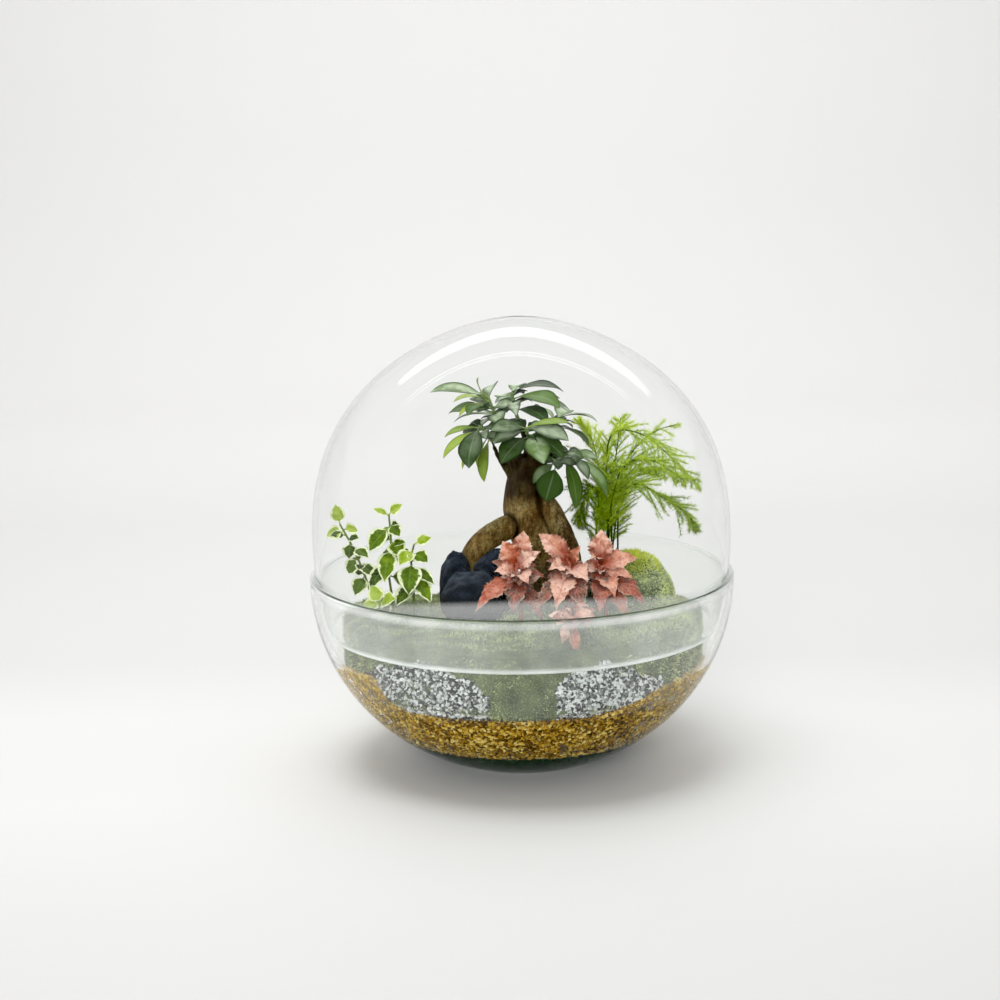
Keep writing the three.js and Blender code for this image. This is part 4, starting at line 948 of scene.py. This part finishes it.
def leaf(mass, root, tip, width, facing, style, tone):
    """A closed thin blade, arched along its rib, folded up at its sides and waved at its edges."""
    along = unit(tip - root)
    length = np.linalg.norm(tip - root)
    normal = unit(facing - along * facing.dot(along))
    side = np.cross(along, normal)
    rows, columns = style.rows, LEAF_COLUMNS
    u = np.linspace(0, 1, rows)[:, None]
    v = np.linspace(-1, 1, columns)
    half = np.interp(u, *zip(*style.outline)) * width / 2
    half = half * (1 + style.teeth * np.array([[1], [-1], [0]])[np.arange(rows) % 3])
    place = style.petiole + (1 - style.petiole) * u
    rib = root + place * length * along + 4 * style.arch * length * place * (1 - place) * normal
    curl = rng.uniform(-0.12, 0.12)
    phase = rng.uniform(0, 6)
    folded = style.fold * np.abs(v) * half
    waves = np.sin(2 * math.pi * style.waves * u + phase + 1.4 * np.sign(v))
    waved = style.wave * width / 2 * v ** 2 * waves * np.sin(math.pi * u) ** 0.5
    lift = folded + waved + curl * v * half * u
    tip_drop = -0.1 * length * np.clip(u - 0.75, 0, 1) ** 2 * 6
    face = rib[:, None] + (v * half)[..., None] * side + (lift + tip_drop)[..., None] * normal
    thick = style.thick / 2 * (1 - 0.75 * np.abs(v) ** 3)[:, None] * normal
    count = rows * columns
    quads = grid_faces(rows, columns)
    left = np.arange(rows - 1) * columns
    right = left + columns - 1
    first = np.arange(columns - 1)
    last = first + count - columns
    edges = [(left, left + columns), (right + columns, right), (first + 1, first), (last, last + 1)]
    walls = [np.stack([a, b, b + count, a + count], 1) for a, b in edges]
    mass.add([face + thick, face - thick], [quads[:, ::-1], quads + count] + walls, tone,
             np.tile(np.repeat(u, columns), 2), np.tile(v, 2 * rows))
    tube(mass, [root, (root + rib[0]) / 2, rib[1]], [0.55, 0.5, 0.35], 6, min(tone + 0.25, 1))


def walked(path):
    """The share of a path's length at each of its points."""
    steps = np.linalg.norm(np.diff(path, axis=0), axis=1)
    return np.concatenate([[0], np.cumsum(steps)]) / steps.sum()


def along_path(path, share):
    """The point at a share of a path's length."""
    return np.array([np.interp(share, walked(path), values) for values in np.transpose(path)])


def facing_of(tip, middle):
    """The direction that a leaf's upper side faces."""
    away = (tip - middle) * [1, 1, 0]
    if np.linalg.norm(away) < 1:
        away = np.array([0, -1.0, 0])
    return unit(away) * 0.7 + np.array([0, -0.35, 1.0])


def inner_leaf_tone(kind, number):
    """Dark, as painted shade deep inside the plant, but for every third leaf of the fittonia."""
    if kind == "fittonia" and number % 3:
        return rng.uniform(0, 0.12)
    tone = rng.uniform(0, 0.3)
    return rng.uniform(0.4, 0.9) if kind == "fittonia" else tone


def make_shoot(kind, name, twig, leaves):
    """Leaves on a twig, which starts in a branch of the ficus or in the ground."""
    style = STYLES[kind]
    if kind == "ficus":
        branch = np.array(BRANCHES[name][0], float)
        ahead = unit(branch[-1] - branch[-2])
        start = branch[-1] + ahead * 0.3
        path = np.array([start, start + ahead * 2, *twig])
        middle = CROWN_MIDDLE
        bare = walked(path)[1]
    else:
        x, y = twig[0][:2]
        path = np.array([(x, y, float(ground(x, y)) - STEM_DEPTH), *twig], float)
        middle = path[-1] + [0, style.back, 0]
        bare = min(walked(path)[1], 0.9)
    mass = Mass()
    tube(mass, smooth_path(path, 5), style.stem_radii, 8, style.stem_tone)
    for at, x, y, z, width, *tone in leaves:
        tip = np.array([x, y, z], float)
        root = along_path(path, bare + (1 - bare) * at)
        young = width < style.young_width or at >= style.young_from
        tone = tone[0] if tone else rng.uniform(*style.tones[young])
        leaf(mass, root, tip, width, facing_of(tip, middle), style, tone)
    number, length, breadth = style.inner_leaves
    for k in range(number):
        root = along_path(path, bare + (1 - bare) * rng.uniform(0.25, 0.9))
        clock = 2.4 * k + rng.uniform(-0.4, 0.4)
        way = unit([math.cos(clock), math.sin(clock), rng.uniform(-0.3, 0.45)])
        tip = root + way * length * rng.uniform(0.7, 1.1)
        tone = inner_leaf_tone(kind, k)
        leaf(mass, root, tip, breadth * rng.uniform(0.8, 1.1), facing_of(tip, middle), style, tone)
    node = f"{style.node}_{name}"
    mass.make(node + "_leaves", MATERIALS[kind], (node,))


# Shoots: name, twig, and leaves by their place on the stem, tip and width. One has a tone too.
FICUS_SHOOTS = [
    ("top_left", [(-17, 2, 233), (-20, 0, 242)],
     [(0.95, -58, 2, 247, 13), (1, -27, -8, 256, 6), (0.55, -33, -30, 236, 13), (0.8, -42, -18, 243, 7),
      (0.7, -39, -22, 234, 7), (0.2, -12, -28, 229, 13), (0.9, -16, 24, 248, 12), (0.6, -30, 26, 240, 13),
      (0.35, -47, 14, 231, 12)]),
    ("top_right", [(-4, 12, 236), (-5, 11, 244)],
     [(1, 29, 12, 245, 17, 0.0), (0.7, 26, -16, 238, 17), (0.9, 2, 38, 244, 12), (0.4, 27, 30, 238, 13),
      (0.45, -2, -22, 234, 9), (0.2, 18, -22, 229, 14), (0.6, 34, 2, 232, 13), (0.3, -14, 40, 238, 12)]),
    ("left", [(-22, -12, 221), (-26, -18, 226)],
     [(0.95, -33, -40, 203, 17), (0.7, -50, -24, 207, 8), (0.85, -49, -13, 219, 6), (0.4, -38, -20, 199, 6),
      (0.1, -24, -20, 190, 8), (0.2, -28, -10, 197, 5)]),
    ("front", [(5, -18, 220), (4, -23, 225)],
     [(0.95, -18, -36, 226, 13), (0.8, -17, -30, 217, 12), (0.9, 31, -34, 219, 15), (1, 32, -26, 229, 6),
      (0.3, -12, -36, 205, 16), (0.4, 15, -44, 206, 17), (0.5, 28, -36, 208, 13)]),
    ("right", [(30, -12, 206), (34, -13, 205)],
     [(1, 57, -20, 179, 12), (0.8, 51, -8, 202, 9), (0.3, 36, -24, 172, 12), (0.7, 44, -26, 192, 9)]),
    ("low_right", [(23, -19, 202), (23, -22, 200)],
     [(1, 16, -33, 179, 18), (0.5, 8, -27, 190, 9)]),
    ("back_left", [(-13, 32, 220), (-15, 36, 224)],
     [(1, -44, 38, 222, 14), (0.8, -18, 66, 222, 14), (0.5, -34, 50, 206, 13), (0.6, 2, 54, 214, 13),
      (0.3, -38, 22, 210, 12)]),
    ("back_right", [(24, 31, 219), (26, 34, 223)],
     [(1, 52, 30, 222, 13), (0.8, 32, 62, 224, 14), (0.4, 44, 44, 206, 12), (0.6, 10, 48, 230, 11),
      (0.3, 46, 14, 208, 12)]),
]
FITTONIA_SHOOTS = [
    ("left", [(-1, -60, 124), (-3, -57, 136), (-3, -55, 143)],
     [(1, 2, -42, 162, 13), (0.93, -12, -50, 157, 14), (0.86, 12, -60, 152, 12), (0.78, -14, -42, 147, 11),
      (0.7, -17, -62, 140, 13), (0.62, 4, -79, 136, 14), (0.5, -29, -78, 119, 14), (0.38, -6, -84, 118, 14),
      (0.24, 13, -78, 112, 12)]),
    ("middle", [(28, -62, 126), (30, -60, 138), (31, -58, 145)],
     [(1, 11, -48, 161, 14), (0.93, 37, -64, 156, 9), (0.86, 24, -40, 152, 11), (0.79, 17, -72, 143, 13),
      (0.72, 41, -79, 137, 15), (0.6, 21, -89, 122, 16), (0.48, 38, -90, 120, 15), (0.36, 8, -88, 121, 12),
      (0.24, 34, -84, 111, 12)]),
    ("right", [(53, -57, 124), (50, -55, 136), (49, -54, 142)],
     [(1, 51, -47, 163, 16), (0.93, 43, -73, 150, 9), (0.86, 74, -51, 145, 14), (0.79, 62, -36, 147, 11),
      (0.71, 70, -64, 135, 12), (0.62, 58, -79, 127, 14), (0.5, 77, -72, 120, 15), (0.38, 48, -86, 119, 14),
      (0.24, 66, -82, 112, 12)]),
    ("trailing", [(31, -93, 113), (31, -97, 118), (29, -102, 117)],
     [(1, 24, -107, 104, 7), (0.95, 33, -109, 96, 7), (0.8, 18, -100, 120, 8), (0.9, 45, -101, 120, 9)]),
]
FIG_STEMS = [
    ("left", [(-98, -24, 114), (-103, -24, 132), (-110, -20, 148), (-118, -16, 162)],
     [(1, -121, -14, 175, 10), (0.9, -127, -18, 155, 12), (0.93, -107, -10, 157, 9),
      (0.75, -112, -24, 141, 10), (0.65, -99, -30, 143, 9), (0.55, -113, -20, 130, 10),
      (0.45, -95, -34, 131, 10), (0.3, -108, -34, 119, 11)]),
    ("tall", [(-84, -32, 114), (-86, -31, 134), (-84, -31, 152), (-85, -30, 171)],
     [(1, -76, -32, 178, 8), (0.99, -95, -30, 175, 5), (0.88, -78, -36, 158, 10), (0.86, -98, -34, 148, 14),
      (0.7, -77, -38, 145, 13), (0.62, -88, -44, 130, 13), (0.75, -86, -14, 160, 11),
      (0.5, -76, -18, 138, 11), (0.45, -98, -40, 124, 11), (0.3, -74, -22, 122, 11)]),
    ("right", [(-70, -36, 114), (-70, -38, 130), (-71, -36, 143), (-69, -34, 152)],
     [(1, -58, -32, 156, 8), (0.9, -78, -44, 141, 12), (0.85, -60, -42, 142, 11), (0.7, -72, -54, 124, 16),
      (0.6, -56, -48, 129, 9), (0.45, -58, -54, 119, 12), (0.3, -80, -54, 117, 11)]),
    ("low", [(-90, -52, 108), (-90, -53, 114), (-90, -53, 118)],
     [(1, -96, -50, 129, 11), (0.95, -80, -62, 123, 13), (0.9, -101, -56, 116, 11),
      (0.8, -86, -68, 112, 12)]),
]
CROWN_MIDDLE = (4, 4, 215)

# Fronds: name, number of twigs, foot and line
FERN_FRONDS = [
    ("low_right", 64, (63, 29), [(62, 28, 165), (77, 18, 180), (98, 10, 170), (111, 4, 161), (116, 0, 152)]),
    ("right", 64, (60, 24), [(58, 28, 181), (62, 26, 213), (83, 16, 213), (104, 6, 195), (118, -1, 181)]),
    ("upright", 64, (52, 36), [(54, 36, 173), (50, 40, 203), (41, 42, 221)]),
    ("top", 40, (58, 43), [(62, 44, 171), (66, 48, 198), (69, 52, 220)]),
    ("high_right", 16, (66, 39), [(67, 38, 172), (76, 36, 199), (91, 33, 213), (107, 29, 219)]),
    ("front", 64, (53, 28), [(62, 16, 174), (71, 2, 197), (88, -6, 199), (107, -12, 187)]),
    ("low_front", 64, (46, 22), [(52, 17, 166), (48, 13, 179), (41, 11, 169), (38, 10, 155)]),
    ("back", 64, (60, 47), [(68, 55, 162), (81, 65, 181), (96, 72, 180)]),
]
NEEDLES, NEEDLE_RADIUS = 11, 0.125


def spikes(mass, roots, tips, radius, tones):
    """Three sided spikes from roots to tips."""
    along = unit(tips - roots)
    a = any_across(along)
    b = np.cross(along, a)
    foot = [roots + radius * (math.cos(t) * a + math.sin(t) * b) for t in (0, 2.094, 4.189)]
    points = np.stack(foot + [tips], 1)
    base = np.arange(len(roots))[:, None, None] * 4
    faces = (base + np.array([[0, 1, 3], [1, 2, 3], [2, 0, 3], [0, 2, 1]])[None]).reshape(-1, 3)
    mass.add(points, faces, np.repeat(tones, 4), np.tile([0, 0, 0, 1], len(roots)))


def inside_dome(points, margin):
    """Points pulled in towards the axis where they would reach the glass."""
    r = np.hypot(points[:, 0], points[:, 1])
    limit = dome_inside(points[:, 2]) - margin
    scale = np.minimum(1, limit / np.maximum(r, 1e-6))
    return points * np.stack([scale, scale, np.ones_like(scale)], 1)


def make_frond(seed, name, twigs, foot, path):
    own = np.random.default_rng(100 + seed)
    x, y = foot
    low = float(ground(x, y))
    line = smooth_path([(x, y, low - STEM_DEPTH), (x, y, low + 4), *path], 9)
    mass = Mass()
    tube(mass, line, [0.8, 0.6, 0.45, 0.3], 6, 0.12)
    roots, tips, tones = [], [], []
    steps = 10
    for i in range(twigs):
        u = 0.38 + 0.61 * i / (twigs - 1)
        place = along_path(line, u)
        along = unit(along_path(line, min(u + 0.02, 1)) - along_path(line, u - 0.02))
        level = unit(np.cross(along, [0, 0, 1.0]) + 1e-6)
        over = np.cross(level, along)
        clock = (0 if i % 2 else math.pi) + own.normal() * 0.7
        outward = math.cos(clock) * level + math.sin(clock) * over * 0.6 + along * own.uniform(0.6, 1.2)
        outward = unit(outward)
        length = own.uniform(14, 28) * (0.1 + 0.9 * math.sin(math.pi * min(1, (u - 0.25) / 0.77)))
        share = np.linspace(0, 1, steps)[:, None]
        sag = np.array([0, 0, 0.12 * length]) * share * share
        twig = inside_dome(place + outward * length * share - sag, 3)
        tube(mass, twig, [0.28, 0.14], 4, 0.3)
        for k in range(1, steps):
            root = twig[k] + own.normal(size=(NEEDLES, 3)) * 0.35
            heading = unit(twig[k] - twig[k - 1])
            ways = unit(heading * 0.8 + own.normal(size=(NEEDLES, 3)) * 0.6 + np.array([0, 0, 0.1]))
            reach = own.uniform(2.4, 5.2, (NEEDLES, 1)) * (1.1 - 0.35 * k / steps)
            roots.append(root)
            tips.append(root + ways * reach)
            # Painted shade on needles low and deep towards the trunk, and painted light on the high needles.
            deep = np.clip((56 - root[:, 0]) / 12, 0, 1) * np.clip((200 - root[:, 2]) / 25, 0, 1)
            high = np.clip((root[:, 2] - 190) / 25, 0, 1)
            tone = own.normal(0.62, 0.34, NEEDLES) + 0.3 * sway(root, 9, 1) - 0.35 * deep + 0.3 * high
            tones.append(np.clip(tone, 0.05, 1))
    tips = inside_dome(np.concatenate(tips), 0.5)
    spikes(mass, np.concatenate(roots), tips, NEEDLE_RADIUS, np.concatenate(tones))
    node = "asparagus_frond_" + name
    mass.make(node + "_needles", MATERIALS["fern"], (node,), smooth=False)


MATERIALS = {
    "pumice": pumice_material(),
    "moss": moss_material("carpet_moss", (0.06, 0.08, 0.03), (0.32, 0.38, 0.18), (0.8, 0.88, 0.42)),
    "lava": lava_material(),
    "ficus": ficus_leaf_material(),
    "fittonia": fittonia_leaf_material(),
    "fig": fig_leaf_material(),
    "fern": fern_material(),
}

make_bowl()
make_dome()
make_bottom_moss()
make_vermiculite()
for patch in PUMICE:
    make_pumice(*patch)
make_moss_carpet()
make_mound()
for stone in STONES:
    make_stone(*stone)
make_trunk()
for kind, shoots in (("ficus", FICUS_SHOOTS), ("fittonia", FITTONIA_SHOOTS), ("fig", FIG_STEMS)):
    for shoot in shoots:
        make_shoot(kind, *shoot)
for seed, frond in enumerate(FERN_FRONDS):
    make_frond(seed, *frond)

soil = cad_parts["soil"]
soil.data.materials.clear()
soil.data.materials.append(soil_material())


# Floor, lights and camera

FLOOR_FRONT, FLOOR_END, WALL_RADIUS, WALL_TOP, FLOOR_HALF_WIDTH = -3, 1.6, 0.8, 1, 4
SHADES_LENGTH = 5.5
# Places from front to back and how bright the floor is there, darker to the front and lighter up the wall:
# painted shade and light
FLOOR_SHADES = [
    (-3, 0.25), (-1.2, 0.36), (-0.45, 0.59), (-0.3, 0.64), (-0.1, 0.72), (0.08, 0.73), (0.24, 0.67),
    (0.44, 0.68), (0.8, 0.68), (1.5, 0.79), (2.2, 0.88), (2.4, 0.92),
]
WORLD_FRONT, WORLD_BACK, WORLD_TOP = (0.22, 0.22, 0.22), (0.84, 0.84, 0.83), (0.6, 0.6, 0.6)
# The camera as fitted to the photo: distance in metres, lens in mm, angles in degrees
CAMERA_DISTANCE, CAMERA_LENS, CAMERA_SENSOR = 1.3, 70.47, 36
CAMERA_HEIGHT_ANGLE, CAMERA_PITCH, CAMERA_YAW, CAMERA_ROLL = 12.784, 10.754, 0.615, -0.891


def make_floor():
    """A pale floor that curves up into a wall far behind."""
    bend = np.linspace(0.1, math.pi / 2, 14)
    profile = [(FLOOR_FRONT, 0), (FLOOR_END, 0)]
    profile += [(FLOOR_END + WALL_RADIUS * math.sin(t), WALL_RADIUS * (1 - math.cos(t))) for t in bend]
    profile += [(FLOOR_END + WALL_RADIUS, WALL_TOP)]
    across = np.linspace(-FLOOR_HALF_WIDTH, FLOOR_HALF_WIDTH, 9)
    points = [(x, y, z) for y, z in profile for x in across]
    mesh = bpy.data.meshes.new("pale_floor")
    mesh.from_pydata(points, [], grid_faces(len(profile), len(across)).tolist())
    for polygon in mesh.polygons:
        polygon.use_smooth = True
    s = Shader("pale_floor", Roughness=0.6, Specular_IOR_Level=0.2)
    share = s.span(s.axis("Y"), FLOOR_FRONT, FLOOR_FRONT + SHADES_LENGTH)
    s.color(share, *[((y - FLOOR_FRONT) / SHADES_LENGTH, shade, shade * 0.997, shade * 0.985)
                     for y, shade in FLOOR_SHADES])
    s.stain(s.spots(300, 3, 0.3, 0.7, 0, 0.03), (0.8, 0.8, 0.8))
    mesh.materials.append(s.material)
    floor = new_object("pale_floor", mesh)


def softbox(name, location, target, width, height, power, mirrored=True):
    """A soft light. One that isn't mirrored lights the object but leaves no bright patch on the glass."""
    light = bpy.data.lights.new(name, "AREA")
    light.shape = "ELLIPSE"
    light.size, light.size_y = width, height
    light.energy = power
    thing = new_object(name, light)
    thing.location = location
    thing.visible_glossy = mirrored
    thing.visible_transmission = mirrored
    way = Vector(target) - thing.location
    thing.rotation_euler = way.to_track_quat("-Z", "Y").to_euler()


def make_world():
    """Soft studio light, dimmer from the camera's side than from behind and above."""
    world = bpy.data.worlds.new("studio")
    bpy.context.scene.world = world
    world.use_nodes = True
    s = Nodes(world.node_tree, "Generated")
    sides = s.ramp(s.span(s.axis("Y"), -1, 1), (0.2, *WORLD_FRONT), (0.42, *WORLD_BACK))
    background = s.tree.nodes["Background"]
    s.feed(background.inputs["Color"], s.mix(s.span(s.axis("Z"), 0.2, 1), sides, WORLD_TOP))
    s.feed(background.inputs["Strength"], 1)


def make_camera():
    angles = CAMERA_HEIGHT_ANGLE, CAMERA_PITCH, CAMERA_YAW, CAMERA_ROLL
    lift, pitch, yaw, roll = (math.radians(angle) for angle in angles)
    forward = Vector((-math.sin(yaw) * math.cos(pitch), math.cos(yaw) * math.cos(pitch), -math.sin(pitch)))
    right = forward.cross(Vector((0, 0, 1))).normalized()
    up = right.cross(forward)
    right, up = right * math.cos(roll) + up * math.sin(roll), up * math.cos(roll) - right * math.sin(roll)
    place = Vector((0, -math.cos(lift), math.sin(lift))) * CAMERA_DISTANCE + Vector((0, 0, RIM_HEIGHT * MM))
    camera = bpy.data.cameras.new("camera")
    camera.lens = CAMERA_LENS
    camera.sensor_width = CAMERA_SENSOR
    camera.clip_start = 0.05
    thing = new_object("camera", camera)
    thing.matrix_world = Matrix.Translation(place) @ Matrix((right, up, -forward)).transposed().to_4x4()
    bpy.context.scene.camera = thing


make_floor()
make_world()
softbox("back_softbox", (0.1, 1.35, 1.4), (0, 0, 0.2), 2.65, 0.28, 5.7)
softbox("top_softbox", (-0.2, -0.1, 1.35), (0, 0, 0.12), 0.7, 0.7, 8, False)
softbox("front_softbox", (-0.2, -1.5, 0.6), (0, 0, 0.1), 0.6, 0.6, 13, False)
softbox("wall_softbox", (-0.05, 0.85, 1.85), (0, 2.4, 0.7), 3.2, 0.5, 19)
make_camera()
view = bpy.context.scene.view_settings
view.view_transform = "Standard"
view.use_curve_mapping = True
view.curve_mapping.black_level = (0.01, 0.01, 0.01)
view.curve_mapping.update()
